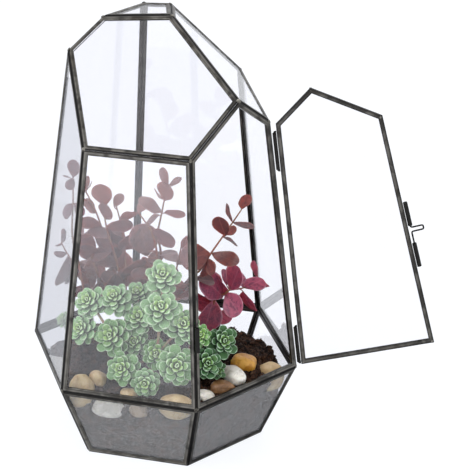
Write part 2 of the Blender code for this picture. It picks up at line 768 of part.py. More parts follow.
def largest_body(mesh):
    """The mesh without any loose scrap that a Boolean left beside it."""
    bm = bmesh.new()
    bm.from_mesh(mesh)
    left, bodies = set(bm.faces), []
    while left:
        body, front = set(), [left.pop()]
        while front:
            face = front.pop()
            body.add(face)
            beside = {other for edge in face.edges for other in edge.link_faces} & left
            left -= beside
            front.extend(beside)
        bodies.append(body)
    bodies.sort(key=len, reverse=True)
    scraps = [face for body in bodies[1:] for face in body]
    bmesh.ops.delete(bm, geom=scraps, context="FACES")
    bm.to_mesh(mesh)
    bm.free()
    return mesh


def smooth_path(points, per_span=2):
    """Points on a Catmull-Rom curve through the given ones."""
    padded = [points[0] * 2 - points[1], *points, points[-1] * 2 - points[-2]]
    path = []
    for a, b, c, d in zip(padded, padded[1:], padded[2:], padded[3:]):
        for k in range(per_span):
            t = k / per_span
            path.append(0.5 * (2 * b + (c - a) * t + (2 * a - 5 * b + 4 * c - d) * t ** 2
                               + (3 * b - a - 3 * c + d) * t ** 3))
    return path + [points[-1]]


def stem_mesh(points, radius):
    """A closed six-sided stem along a path, as a plain mesh."""
    obj = bpy.data.objects.new("stem", wire_curve("stem", points, radius, resolution=1))
    CUTTERS.objects.link(obj)
    bpy.context.view_layer.update()
    mesh = welded_mesh(obj)
    bpy.data.objects.remove(obj)
    return mesh


def blade_mesh(outline, middle, thick, rim, place):
    """A leaf: an outline with a middle point above and below, and a rim as thick as asked.

    The outline is (along, aside, height); both faces fan out from the middle in the same triangles.
    """

    def build(bm):
        top = [bm.verts.new((x, y, z + rim / 2)) for x, y, z in outline]
        low = [bm.verts.new((x, y, z - rim / 2)) for x, y, z in outline] if rim else top
        over = bm.verts.new(middle + Vector((0, 0, thick / 2)))
        under = bm.verts.new(middle - Vector((0, 0, thick / 2)))
        for i in range(len(outline)):
            j = (i + 1) % len(outline)
            bm.faces.new((over, top[i], top[j]))
            bm.faces.new((under, low[j], low[i]))
            if rim:
                bm.faces.new((top[i], low[i], low[j], top[j]))

    mesh = mesh_from("blade", build)
    mesh.transform(place)
    return mesh


def fuse(name, bodies, finish):
    """Join bodies that grow together into one piece, with one union."""
    grown = new_collection("growth")
    first = bpy.data.objects.new(name, bodies[0])
    PARTS.objects.link(first)
    for body in bodies[1:]:
        grown.objects.link(bpy.data.objects.new("growth", body))
    mesh = boolean_with(first, grown, "UNION")
    for obj in [first, *grown.objects]:
        bpy.data.objects.remove(obj)
    bpy.data.collections.remove(grown)
    mesh.shade_smooth()
    mesh.set_sharp_from_angle(angle=math.radians(50))
    add_piece(name, largest_body(mesh), finish)


def petal(length, half, lift, place):
    """A thick petal that widens to half its outline's width and curls up by lift over its length."""
    shape = [*half, (1.0, 0.0)] + [(x, -y) for x, y in reversed(half)]
    outline = [(x * length, y * length, lift * length * x * x) for x, y in shape]
    middle = Vector((0.6 * length, 0, lift * length * 0.36 - 0.05 * length))
    return blade_mesh(outline, middle, 0.13 * length, 0, place)


def rosette_bodies(rosette):
    """The heart of a rosette and its rings of petals, facing away from the plant's middle."""
    heart = Vector(rosette.heart) * MM
    facing = (heart - ROSETTE_FOCUS).normalized()
    stand = facing.to_track_quat("Z", "Y").to_matrix().to_4x4()
    stand.translation = heart
    radius = rosette.spread * MM / 2
    bm = bmesh.new()
    bmesh.ops.create_cone(bm, cap_ends=True, segments=6, radius1=radius * 0.24, radius2=radius * 0.12,
                          depth=radius * 0.85)
    bmesh.ops.translate(bm, verts=bm.verts, vec=(0, 0, radius * 0.1))
    core = bpy.data.meshes.new("core")
    bm.to_mesh(core)
    bm.free()
    core.transform(stand)
    bodies = [core]
    for ring, (count, share, tilt, turn, half) in enumerate(PETAL_RINGS):
        for k in range(count):
            spin = Matrix.Rotation(math.radians(turn + 360 * k / count), 4, "Z")
            lean = Matrix.Rotation(-math.radians(tilt + 5 * (k % 2)), 4, "Y")
            rise = Matrix.Translation((0, 0, radius * (-0.18 + 0.24 * ring)))
            bodies.append(petal(radius * share, half, 0.18, stand @ rise @ spin @ lean))
    return bodies, heart - facing * radius * 0.2


def build_succulents():
    """Each succulent: a trunk in the soil, and rosettes that each branch from behind a nearer one."""
    for name, ((x, y), rosettes) in SUCCULENTS.items():
        x, y = x * MM, y * MM
        top = soil_height(x, y)
        fork = Vector((x, y, top + TRUNK_HEIGHT))
        bodies = [stem_mesh([Vector((x, y, top - ROOT_DEPTH + GAP)), fork], TRUNK_RADIUS)]
        joints = [(fork, 0.0)]
        for rosette in sorted(rosettes, key=lambda r: (Vector(r.heart) * MM - fork).length):
            petals, back = rosette_bodies(rosette)
            start, before = min(joints, key=lambda j: (back - j[0]).length + DIRECTNESS * j[1])
            bodies.append(stem_mesh([start, back], BRANCH_RADIUS))
            bodies += petals
            joints.append((back, before + (back - start).length))
        fuse(name, bodies, "succulent_leaf")


def leaf_outline(length):
    """A round, blunt leaf on a short stalk, gently cupped: (along, aside, height)."""
    half = [(0.0, 0.03), (0.42, 0.4), (0.84, 0.36)]
    shape = half + [(1.0, 0.0)] + [(x, -y) for x, y in reversed(half)]
    return [(LEAF_SUNK + x * length, y * length, length * (0.25 * y * y - 0.05 * x * x)) for x, y in shape]


def leaf_mesh(panels, root, along, lean, length):
    """A leaf that grows from a stem, shortened where it would reach the glass."""
    aside = Vector((0, 0, 1)).cross(along).normalized()
    aside = (aside + Vector((0, 0, lean))).normalized()
    face = along.cross(aside).normalized()
    place = frame_on(root, along, face.cross(along), face)
    least = 6 * MM
    while length > least:
        tips = [place @ Vector(p) for p in leaf_outline(length)]
        if min(room_inside(panels, tip, CHANNEL_DEPTH + 1 * MM) for tip in tips) > 0:
            break
        length -= 1 * MM
    outline = leaf_outline(length)
    middle = Vector((0.5 * length, 0, -0.02 * length))
    return blade_mesh(outline, middle, LEAF_THICK * 1.4, LEAF_THICK, place)


def spray_bodies(panels, stem, draw):
    """One stem with its leaf pairs, each across the last, and a single leaf at the tip."""
    points = [Vector(p) * MM for p in stem.points]
    path = smooth_path(points)
    bodies = [stem_mesh(path, STEM_RADIUS * 0.9)]
    pairs = len(stem.leaf_lengths)
    for k, length in enumerate(stem.leaf_lengths):
        share = stem.first_pair + (1 - stem.first_pair) * k / (pairs - 0.4)
        index = min(int(share * (len(path) - 1)), len(path) - 2)
        root = path[index].lerp(path[index + 1], share * (len(path) - 1) - index)
        grow = (path[index + 1] - path[index]).normalized()
        for side in (0, 180):
            heading = stem.heading + LEAF_TURN * k + side + draw.uniform(-16, 16)
            rise = draw.uniform(0.2, 0.6)
            along = (heading_vector(heading) + grow * rise).normalized()
            size = length * MM * draw.uniform(0.86, 1.04)
            bodies.append(leaf_mesh(panels, root, along, draw.uniform(-0.5, 0.5), size))
    tip_way = (path[-1] - path[-2]).normalized() + heading_vector(stem.heading) * 0.3
    size = stem.leaf_lengths[-1] * MM * 0.8
    bodies.append(leaf_mesh(panels, path[-1] - tip_way * 1 * MM, tip_way.normalized(), 0.6, size))
    return bodies


def build_sprays(panels):
    """Each red-leaved spray: its stems, from one root in the soil, and their leaves."""
    for seed, (name, (finish, stems)) in enumerate(SPRAYS.items()):
        draw = random.Random(40 + seed)
        first = Vector(stems[0].points[0]) * MM
        foot = Vector((first.x, first.y, soil_height(first.x, first.y) - ROOT_DEPTH + GAP))
        bodies = [stem_mesh([foot, first + Vector((0, 0, 0.5 * MM))], STEM_RADIUS)]
        for stem in stems:
            bodies += spray_bodies(panels, stem, draw)
        fuse(name, bodies, finish)


def main():
    """Build the case, the door, the soil with its pebbles, and the plants."""
    panels = case_panels()
    build_case(panels)
    build_door(panels)
    build_soil(panels)
    build_succulents()
    build_sprays(panels)


main()
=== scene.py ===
"""The looks of a tall glass terrarium with an open door, planted with succulents and red-leaved sprays.

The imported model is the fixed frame. The panes, hinges and latch keep their solids and get their finishes
here. Cames, solder, peat, pebbles, succulents and sprays are modelled finely over the solids that they
stand for. Metres, +Z up, in the frame of the model. Sizes marked MM are millimetres times MM.
"""

import logging
import math
import random
from collections.abc import Callable, Sequence
from dataclasses import dataclass
from enum import Enum
from itertools import combinations
from typing import NamedTuple

import bmesh
import bpy
from bpy.types import Collection, Material, Mesh, NodeSocket, NodeTree, Object
from mathutils import Matrix, Vector, noise


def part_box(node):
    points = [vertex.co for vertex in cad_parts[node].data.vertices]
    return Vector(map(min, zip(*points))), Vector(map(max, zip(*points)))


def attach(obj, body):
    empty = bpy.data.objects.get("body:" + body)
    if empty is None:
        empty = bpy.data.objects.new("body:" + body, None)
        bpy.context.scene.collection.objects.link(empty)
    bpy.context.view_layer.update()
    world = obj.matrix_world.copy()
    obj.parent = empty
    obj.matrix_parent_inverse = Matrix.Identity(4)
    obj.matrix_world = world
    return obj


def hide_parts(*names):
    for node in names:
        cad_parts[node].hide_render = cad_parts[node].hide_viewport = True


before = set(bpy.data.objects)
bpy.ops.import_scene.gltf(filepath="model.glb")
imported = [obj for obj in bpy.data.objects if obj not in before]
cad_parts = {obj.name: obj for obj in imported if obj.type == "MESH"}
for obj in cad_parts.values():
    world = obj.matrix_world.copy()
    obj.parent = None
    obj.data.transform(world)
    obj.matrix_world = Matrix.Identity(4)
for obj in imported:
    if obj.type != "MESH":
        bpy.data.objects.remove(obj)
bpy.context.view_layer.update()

LOG = logging.getLogger("terrarium")
Point = tuple[float, float, float]
Flat = tuple[float, float]
MM = 0.001
SMOOTH = {"interpolation_type": "SMOOTHSTEP"}

# Case: the driving sizes of the model
RING_RADIUS = 125 * MM
BASE_RADIUS = 93.3 * MM
BASE_DEPTH = 71.9 * MM
WALL_APEX = 998 * MM  # height above the ring where the six walls would meet
FIRST_CORNER = -120  # heading in degrees of the ring corner left of the front pane
SIDES = ("front", "doorway", "right", "back", "back_left", "left")
ROOFS = {"front": (353.7, 34.4, 88.8), "right": (389.3, 43.0, 202.2), "top": (382.4, 5.6, -23.4)}
CHANNEL_WIDTH = 5.0 * MM
CHANNEL_DEPTH = 3.6 * MM
GAP = 0.3 * MM  # between two cames
GLASS_EDGE = 0.9 * MM  # of came beyond the edge of its pane
PANE_FACE = 2.8 * MM  # depth of a pane's inner face under the outer faces of the case
BASE_FLOOR = 3.9 * MM  # height of the underside of the peat


def srgb(code: str) -> tuple[float, float, float, float]:
    """Turn an sRGB hex colour into the linear colour that the shaders take.

    Args:
        code: The colour as "#rrggbb".

    Returns:
        Linear red, green, blue and an alpha of one.
    """
    shares = [int(code[i:i + 2], 16) / 255 for i in (1, 3, 5)]
    linear = [s / 12.92 if s <= 0.04045 else ((s + 0.055) / 1.055) ** 2.4 for s in shares]
    return (*linear, 1.0)


def held(share: float) -> float:
    """A share kept between nought and one."""
    return min(1.0, max(0.0, share))


def socket(sockets: bpy.types.bpy_prop_collection, key: int | str) -> NodeSocket:
    """Find one of a node's sockets by its place, or by the name of one that is in use."""
    return sockets[key] if isinstance(key, int) else next(s for s in sockets if s.name == key and s.enabled)


def add_node(tree: NodeTree, kind: str, inputs: dict | None = None, out: int | str = 0,
             **settings: object) -> NodeSocket:
    """Add a node with its settings and links.

    Args:
        tree: The tree that gets the node.
        kind: The node's type.
        inputs: What each input holds, by its name or place: a value, or an output to link.
        out: The output to hand back.
        settings: Values of the node's own properties.

    Returns:
        The chosen output, or the node's first input where it has no outputs.
    """
    node = tree.nodes.new(kind)
    for name, value in settings.items():
        setattr(node, name, value)
    for key, value in (inputs or {}).items():
        target = socket(node.inputs, key)
        if isinstance(value, NodeSocket):
            tree.links.new(value, target)
        else:
            target.default_value = value
    return socket(node.outputs, out) if node.outputs else node.inputs[0]


class Coat(NamedTuple):
    """A colour over those before it: none where its guide is at low, and its most where it is at high."""

    colour: str
    guide: NodeSocket
    low: float
    high: float
    most: float = 1.0
    ramp: str = "SMOOTHSTEP"


@dataclass(frozen=True)
class Finish:
    """A procedural finish. Each kind says in surface() how it looks."""

    name: str

    def surface(self, tree: NodeTree) -> NodeSocket:
        """Build the finish's shader and return its output."""
        raise NotImplementedError

    def build(self) -> Material:
        """Make the material.

        Returns:
            A material that holds the finish's nodes.
        """
        material = bpy.data.materials.new(self.name)
        material.use_nodes = True
        material.node_tree.nodes.clear()
        tree = material.node_tree
        add_node(tree, "ShaderNodeOutputMaterial", {"Surface": self.surface(tree)})
        return material

    def drifts(self, tree: NodeTree, *sizes: tuple[float, ...]) -> list[NodeSocket]:
        """Clouds that lie over the surface in the frame of the model.

        Args:
            tree: The material's tree.
            sizes: For each cloud the millimetres that a blotch spans, and where they aren't the usual ones
                its number of finer layers, how strongly it bends itself and the finer layers' weight.

        Returns:
            The value of each, about a half on average.
        """
        place = add_node(tree, "ShaderNodeTexCoord", out="Object")
        clouds = []
        for size, *rest in sizes:
            detail, warp, weight = (*rest, *(3.0, 0.0, 0.55)[len(rest):])
            clouds.append(add_node(tree, "ShaderNodeTexNoise", {
                "Vector": place, "Scale": 1 / (size * MM), "Detail": detail, "Distortion": warp,
                "Roughness": weight}, out="Fac"))
        return clouds

    def coats(self, tree: NodeTree, colour: str, *coats: Coat) -> NodeSocket:
        """Lay colours over one another.

        Args:
            tree: The material's tree.
            colour: The lowest colour.
            coats: Those over it, in order.

        Returns:
            The colour that shows.
        """
        shown = srgb(colour)
        for coat in coats:
            share = add_node(tree, "ShaderNodeMapRange", {
                "Value": coat.guide, "From Min": coat.low, "From Max": coat.high, "To Max": coat.most},
                interpolation_type=coat.ramp)
            shown = add_node(tree, "ShaderNodeMix", {"Factor": share, "A": shown, "B": srgb(coat.colour)},
                             out="Result", data_type="RGBA")
        return shown

    def skin(self, tree: NodeTree, colour: NodeSocket, relief: tuple[NodeSocket, float, float],
             dull: float | tuple[NodeSocket, float, float], **rest: object) -> NodeSocket:
        """Give a coloured surface its fine relief and its gloss.

        Args:
            tree: The material's tree.
            colour: The colour.
            relief: The height that its bumps follow, their depth in millimetres and their strength.
            dull: Its roughness, or what the roughness follows, its least and its most.
            rest: What the shader's other sockets hold all over, by their names with _ for a space.

        Returns:
            The shader's output.
        """
        if isinstance(dull, tuple):
            dull = add_node(tree, "ShaderNodeMapRange", {
                "Value": dull[0], "From Min": 0.3, "From Max": 0.7, "To Min": dull[1], "To Max": dull[2]},
                **SMOOTH)
        bumps = add_node(tree, "ShaderNodeBump", {
            "Height": relief[0], "Distance": relief[1] * MM, "Strength": relief[2]})
        return add_node(tree, "ShaderNodeBsdfPrincipled", {
            "Base Color": colour, "Roughness": dull, "Normal": bumps,
            **{name.replace("_", " "): value for name, value in rest.items()}})


@dataclass(frozen=True)
class BlackenedCame(Finish):
    """Zinc came, blackened with a brushed-on patina and wiped.

    The cloth rubbed the flat of each came to a dull olive grey, blotchy where it skipped; that pale grey
    and the lighter lines on each crown and rim are partly wear and partly a painted highlight. The
    shoulders that fall to the groove between two cames keep the whole black film, and near-black painted
    shade lies where other faces come close, so the eye sees two narrow strips with a dark line between them.
    """

    film: str = "#242322"
    wiped: str = "#454340"
    # The pale rubbed grey is partly worn metal and partly a painted highlight
    rubbed: str = "#7c7973"
    bloom: str = "#4c4338"
    # Painted shade: near black, darker than the film, where other faces come close
    groove: str = "#0c0b0a"
    blotch: float = 14.0
    brush: float = 1.3
    reach: float = 1.6  # mm from a close face within which near-black shade is painted

    def surface(self, tree: NodeTree) -> NodeSocket:
        """Metal under a black film, rubbed thin on its flats, with brown bloom, fine brush marks, a partly
        painted highlight on crowns and rims, and painted shade where other faces come close.

        Args:
            tree: The material's tree.

        Returns:
            The shader's output.
        """
        blotch, warm, brush = self.drifts(tree, (self.blotch, 4, 0.6), (self.blotch * 2.3, 2),
                                          (self.brush, 4))
        painted_shade_ao = add_node(tree, "ShaderNodeAmbientOcclusion", {"Distance": self.reach * MM}, out="AO",
                            samples=8)
        rub = add_node(tree, "ShaderNodeAttribute", out="Fac", attribute_name="rub")
        colour = self.coats(tree, self.wiped, Coat(self.rubbed, blotch, 0.36, 0.6),
                            Coat(self.bloom, warm, 0.5, 0.75, 0.5), Coat(self.film, brush, 0.55, 0.8, 0.4),
                            # Film where the section is not rubbed; the rubbed crown and rim lines are partly
                            # a painted highlight
                            Coat(self.film, rub, 1.0, 0.0, ramp="LINEAR"),
                            # Painted shade in the groove and along the glass, where other faces come close
                            Coat(self.groove, painted_shade_ao, 0.85, 0.4))
        return self.skin(tree, colour, (brush, 0.06, 0.5), (brush, 0.28, 0.42), Metallic=0.9)


@dataclass(frozen=True)
class DarkSolder(Finish):
    """Tin solder run hot over the joints, then darkened with the same patina.

    It froze smooth, so it is a little brighter and glossier than the came, with small cold wrinkles.
    """

    melt: str = "#8b8880"
    tarnish: str = "#3d3a36"
    wrinkle: float = 1.6

    def surface(self, tree: NodeTree) -> NodeSocket:
        """Bright metal under uneven tarnish.

        Args:
            tree: The material's tree.

        Returns:
            The shader's output.
        """
        film, wrinkle = self.drifts(tree, (self.wrinkle * 2,), (self.wrinkle, 2))
        colour = self.coats(tree, self.tarnish, Coat(self.melt, film, 0.35, 0.7))
        return self.skin(tree, colour, (wrinkle, 0.12, 0.6), (film, 0.24, 0.4), Metallic=0.95)


@dataclass(frozen=True)
class FloatGlass(Finish):
    """Float glass, cut and wiped by hand.

    The eye sees it by its reflections, a breath of blue-white in what is behind it, and faint films of
    dust that the cloth left. Lamps reach through it, as they do through a window pane.
    """

    tint: str = "#f8f8fb"
    dust: float = 0.02  # the most that the film hides
    specks: float = 0.0  # the most that grains of peat dust hide
    film: float = 55.0
    speck: float = 1.0
    wave: float = 70.0

    def surface(self, tree: NodeTree) -> NodeSocket:
        """Clear glass whose film scatters a little, with clear shadows.

        Args:
            tree: The material's tree.

        Returns:
            The shader's output.
        """
        film, speck, wave = self.drifts(tree, (self.film, 5, 0.8), (self.speck, 2, 0.0, 0.8), (self.wave, 0))
        clear_share = 1.0
        for guide, low, high, most in ((film, 0.3, 0.75, self.dust), (speck, 0.52, 0.6, self.specks)):
            hidden = add_node(tree, "ShaderNodeMapRange", {
                "Value": guide, "From Min": low, "From Max": high, "To Max": most}, **SMOOTH)
            clear_share = add_node(tree, "ShaderNodeMath", {0: clear_share, 1: hidden}, operation="SUBTRACT")
        glass = self.skin(tree, srgb(self.tint), (wave, 0.05, 0.2), 0.0, IOR=1.5,
                          Transmission_Weight=clear_share)
        lamp = add_node(tree, "ShaderNodeLightPath", out="Is Shadow Ray")
        clear = add_node(tree, "ShaderNodeBsdfTransparent", {"Color": srgb(self.tint)})
        return add_node(tree, "ShaderNodeMixShader", {0: lamp, 1: glass, 2: clear})


@dataclass(frozen=True)
class MoistPeat(Finish):
    """Sphagnum peat, milled and moist.

    Moisture makes it almost black-brown, with rusty crumbs and a few straw-coloured fibres.
    """

    wet_and_shade: str = "#130b08"
    crumb: str = "#4b2e1d"
    straw: str = "#8a7158"
    hollow: float = 5.0  # mm of shade between two crumbs

    def surface(self, tree: NodeTree) -> NodeSocket:
        """Dark crumbs at three sizes, rare pale flecks, and painted shade between crumbs.

        Args:
            tree: The material's tree.

        Returns:
            The shader's output.
        """
        clod, grain, fleck = self.drifts(tree, (7.0, 4), (1.6, 4, 0.0, 0.7), (1.9, 4, 0.0, 0.7))
        painted_shade_ao = add_node(tree, "ShaderNodeAmbientOcclusion", {"Distance": self.hollow * MM}, out="AO",
                            samples=8, only_local=True)
        colour = self.coats(tree, self.wet_and_shade, Coat(self.crumb, clod, 0.35, 0.7),
                            Coat(self.wet_and_shade, grain, 0.5, 0.36), Coat(self.straw, fleck, 0.54, 0.7, 0.42),
                            # Painted shade: the wet colour laid where crumbs of the heap come close
                            Coat(self.wet_and_shade, painted_shade_ao, 0.85, 0.35, 0.85))
        return self.skin(tree, colour, (grain, 0.8, 0.9), 0.92, Specular_IOR_Level=0.25)


@dataclass(frozen=True)
class PeatFibre(Finish):
    """Dry root hairs in the peat: thin straw-brown lines that catch the light."""

    straw: str = "#5a3e2b"
    damp: str = "#2f1e15"

    def surface(self, tree: NodeTree) -> NodeSocket:
        """A brown that varies from hair to hair.

        Args:
            tree: The material's tree.

        Returns:
            The shader's output.
        """
        patch, = self.drifts(tree, (12.0, 1))
        colour = self.coats(tree, self.straw, Coat(self.damp, patch, 0.4, 0.65))
        return add_node(tree, "ShaderNodeBsdfPrincipled", {"Base Color": colour, "Roughness": 0.8})


@dataclass(frozen=True)
class TumbledStone(Finish):
    """A river pebble, tumbled smooth and lightly waxed.

    The wax gives a soft wide sheen. The stone's own colours lie in drifts and a few veins, and fine pits
    break the sheen up close.
    """

    body: str
    drift: str
    stain: str
    drift_size: float
    stained: float  # the most that the stain covers
    roughness: float
    glow: float  # light that passes through the stone's skin

    def surface(self, tree: NodeTree) -> NodeSocket:
        """Drifts of two colours, stains, faint veins and pits under a thin wax.

        Args:
            tree: The material's tree.

        Returns:
            The shader's output.
        """
        size = self.drift_size
        drift, stain, speck = self.drifts(tree, (size, 4, 1.2), (size * 0.6, 5, 2.0), (0.9, 3, 0.0, 0.7))
        colour = self.coats(tree, self.body, Coat(self.drift, drift, 0.38, 0.62),
                            Coat(self.stain, stain, 0.5, 0.72, self.stained),
                            Coat(self.stain, speck, 0.62, 0.75, 0.3))
        return self.skin(tree, colour, (speck, 0.08, 0.5), (speck, self.roughness, 0.55),
                         Subsurface_Weight=self.glow, Subsurface_Radius=(0.004, 0.0025, 0.001),
                         Subsurface_Scale=1.0, Coat_Weight=0.12, Coat_Roughness=0.25)


class Stone(Enum):
    """The kinds of pebble, each with its finish."""

    AMBER = TumbledStone("amber_stone_tumbled", "#a8721f", "#c8963c", "#7d4c14", 12.0, 0.5, 0.25, 0.25)
    WHITE = TumbledStone("white_stone_tumbled", "#ccc8bd", "#e2ded4", "#7e6e57", 13.0, 0.45, 0.34, 0.15)
    TAN = TumbledStone("tan_stone_tumbled", "#b6996c", "#cdb78a", "#8f7248", 15.0, 0.4, 0.38, 0.1)
    RUST = TumbledStone("rust_stone_tumbled", "#6e4c2d", "#84603c", "#48311d", 9.0, 0.5, 0.36, 0.08)
    GREY = TumbledStone("grey_stone_tumbled", "#8f7a60", "#aa967a", "#5f4d3a", 8.0, 0.5, 0.42, 0.05)


@dataclass(frozen=True)
class SucculentLeaf(Finish):
    """A fleshy blue-green leaf under a bloom of wax.

    The wax makes it matt and pale where it lies thick. Light comes through the thin rim, so each petal is
    drawn in a paler line, and the young leaves at the heart are yellow-green.
    """

    flesh: str = "#5a8c40"
    bluish: str = "#7fa572"
    rim: str = "#cfe3c0"
    young: str = "#a6ca68"
    shade: str = "#1f3f1c"
    hollow: float = 4.5  # mm of shade between two petals

    def surface(self, tree: NodeTree) -> NodeSocket:
        """Green that changes with the plant, the ring of leaves and the way to the rim.

        Args:
            tree: The material's tree.

        Returns:
            The shader's output.
        """
        across, reach, heart, tint = (add_node(tree, "ShaderNodeAttribute", out="Fac", attribute_name=name)
                                      for name in ("across", "reach", "heart", "tint"))
        side = add_node(tree, "ShaderNodeMath", {0: across}, operation="ABSOLUTE")
        tip = add_node(tree, "ShaderNodeMapRange", {"Value": reach, "From Min": 0.8}, **SMOOTH)
        edge = add_node(tree, "ShaderNodeMath", {0: side, 1: tip}, operation="MAXIMUM")
        painted_shade_ao = add_node(tree, "ShaderNodeAmbientOcclusion", {"Distance": self.hollow * MM}, out="AO",
                            samples=8, only_local=True)
        bloom, = self.drifts(tree, (2.2, 4))
        colour = self.coats(tree, self.flesh, Coat(self.bluish, tint, 0.1, 0.9),
                            Coat(self.young, heart, 0.2, 0.9, 0.85),
                            Coat(self.bluish, bloom, 0.42, 0.7, 0.35),
                            Coat(self.young, reach, 0.35, 0.0, 0.5), Coat(self.rim, edge, 0.78, 1.0, 0.85),
                            Coat(self.shade, painted_shade_ao, 0.78, 0.22, 0.95))
        return self.skin(tree, colour, (bloom, 0.05, 0.4), (bloom, 0.42, 0.62), Subsurface_Weight=0.25,
                         Subsurface_Radius=(0.0016, 0.003, 0.0012), Subsurface_Scale=1.0, Sheen_Weight=0.1)


@dataclass(frozen=True)
class RedLeaf(Finish):
    """A thin round leaf, coloured red by strong light.

    Its skin is matt with a faint plum bloom. The middle vein is a paler line, the rim is thin and rosy,
    and light that falls on the back shows through.
    """

    skin_red: str = "#57393a"
    second: str = "#745049"
    plum: str = "#46343d"
    rim: str = "#93706b"
    under: str = "#6c5659"
    mottled: float = 0.75  # the most that the plum mottling covers
    vein: float = 0.4  # how pale the middle vein is
    veins: float = 34.0  # how closely the side veins follow each other
    glow: float = 0.3

    def surface(self, tree: NodeTree) -> NodeSocket:
        """Reds that vary by leaf, with mottling, a vein, side veins and a rosy rim.

        Args:
            tree: The material's tree.

        Returns:
            The shader's output.
        """
        across, reach, upper, tint = (add_node(tree, "ShaderNodeAttribute", out="Fac", attribute_name=name)
                                      for name in ("across", "reach", "upper", "tint"))
        mottle, fine = self.drifts(tree, (4.0, 4, 0.7), (1.1, 3))
        side = add_node(tree, "ShaderNodeMath", {0: across}, operation="ABSOLUTE")
        slant = add_node(tree, "ShaderNodeMath", {0: reach, 1: side}, operation="SUBTRACT")
        steps = add_node(tree, "ShaderNodeMath", {0: slant, 1: self.veins}, operation="MULTIPLY")
        comb = add_node(tree, "ShaderNodeMath", {0: steps}, operation="SINE")
        vein = add_node(tree, "ShaderNodeMapRange", {
            "Value": side, "From Min": 0.1, "From Max": 0.0}, **SMOOTH)
        height = add_node(tree, "ShaderNodeMath", {0: fine, 1: vein}, operation="SUBTRACT")
        colour = self.coats(tree, self.skin_red, Coat(self.second, tint, 0.0, 1.0),
                            Coat(self.plum, mottle, 0.4, 0.68, self.mottled),
                            Coat(self.second, fine, 0.5, 0.75, 0.4), Coat(self.rim, side, 0.82, 1.0, 0.7),
                            Coat(self.rim, comb, 0.8, 1.0, 0.4 * self.vein),
                            Coat(self.rim, side, 0.1, 0.0, self.vein),
                            Coat(self.under, upper, 0.1, -0.4, 0.65))
        return self.skin(tree, colour, (height, 0.12, 0.5), (mottle, 0.42, 0.58), Subsurface_Weight=self.glow,
                         Subsurface_Radius=(0.004, 0.0012, 0.001), Subsurface_Scale=1.0)


@dataclass(frozen=True)
class PlantStem(Finish):
    """A soft stem: rosy bark over green, with paler scars where leaves sat."""

    bark: str = "#7d4238"
    green: str = "#8d7a52"

    def surface(self, tree: NodeTree) -> NodeSocket:
        """Bark with long drifts of a second colour.

        Args:
            tree: The material's tree.

        Returns:
            The shader's output.
        """
        drift, scar = self.drifts(tree, (9.0,), (1.5, 2))
        colour = self.coats(tree, self.bark, Coat(self.green, drift, 0.42, 0.7, 0.6))
        return self.skin(tree, colour, (scar, 0.15, 0.6), 0.6, Subsurface_Weight=0.1,
                         Subsurface_Radius=(0.002, 0.001, 0.0008), Subsurface_Scale=1.0)


@dataclass(frozen=True)
class LightTable(Finish):
    """A white acrylic light table: it glows evenly from below and hides all but the softest shadow."""

    glow: str = "#f9fbff"
    strength: float = 0.92

    def surface(self, tree: NodeTree) -> NodeSocket:
        """White with a variation too faint to read as a pattern.

        Args:
            tree: The material's tree.

        Returns:
            The shader's output.
        """
        drift, = self.drifts(tree, (900.0, 1))
        return add_node(tree, "ShaderNodeBsdfPrincipled", {
            "Base Color": self.coats(tree, "#666768", Coat("#6a6b6c", drift, 0.3, 0.7)), "Roughness": 0.9,
            "Specular IOR Level": 0.1, "Emission Color": srgb(self.glow), "Emission Strength": self.strength})


@dataclass(frozen=True)
class LightPanel(Finish):
    """A soft light panel that lies before the case. The front pane mirrors it as a cool veil."""

    glow: str = "#f3f5fb"
    near: float = 1.8  # strength at its edge by the case
    far: float = 2.8  # strength at its other edge, which the top of the pane mirrors

    def surface(self, tree: NodeTree) -> NodeSocket:
        """A glow that grows away from the case and is a little uneven, as through cloth.

        Args:
            tree: The material's tree.

        Returns:
            The shader's output.
        """
        drift, = self.drifts(tree, (300.0, 2))
        place = add_node(tree, "ShaderNodeTexCoord", out="Object")
        y = add_node(tree, "ShaderNodeSeparateXYZ", {"Vector": place}, out="Y")
        strength = add_node(tree, "ShaderNodeMapRange", {
            "Value": y, "From Min": -0.55, "From Max": -1.3, "To Min": self.near, "To Max": self.far},
            **SMOOTH)
        glow = self.coats(tree, self.glow, Coat("#eaeef8", drift, 0.35, 0.65))
        return add_node(tree, "ShaderNodeEmission", {"Color": glow, "Strength": strength})


class Spot(NamedTuple):
    """Where one copy stands, which piece it is, and what its finish reads."""

    place: Matrix
    kind: int = 0
    tint: float = 0.5
    heart: float = 0.0


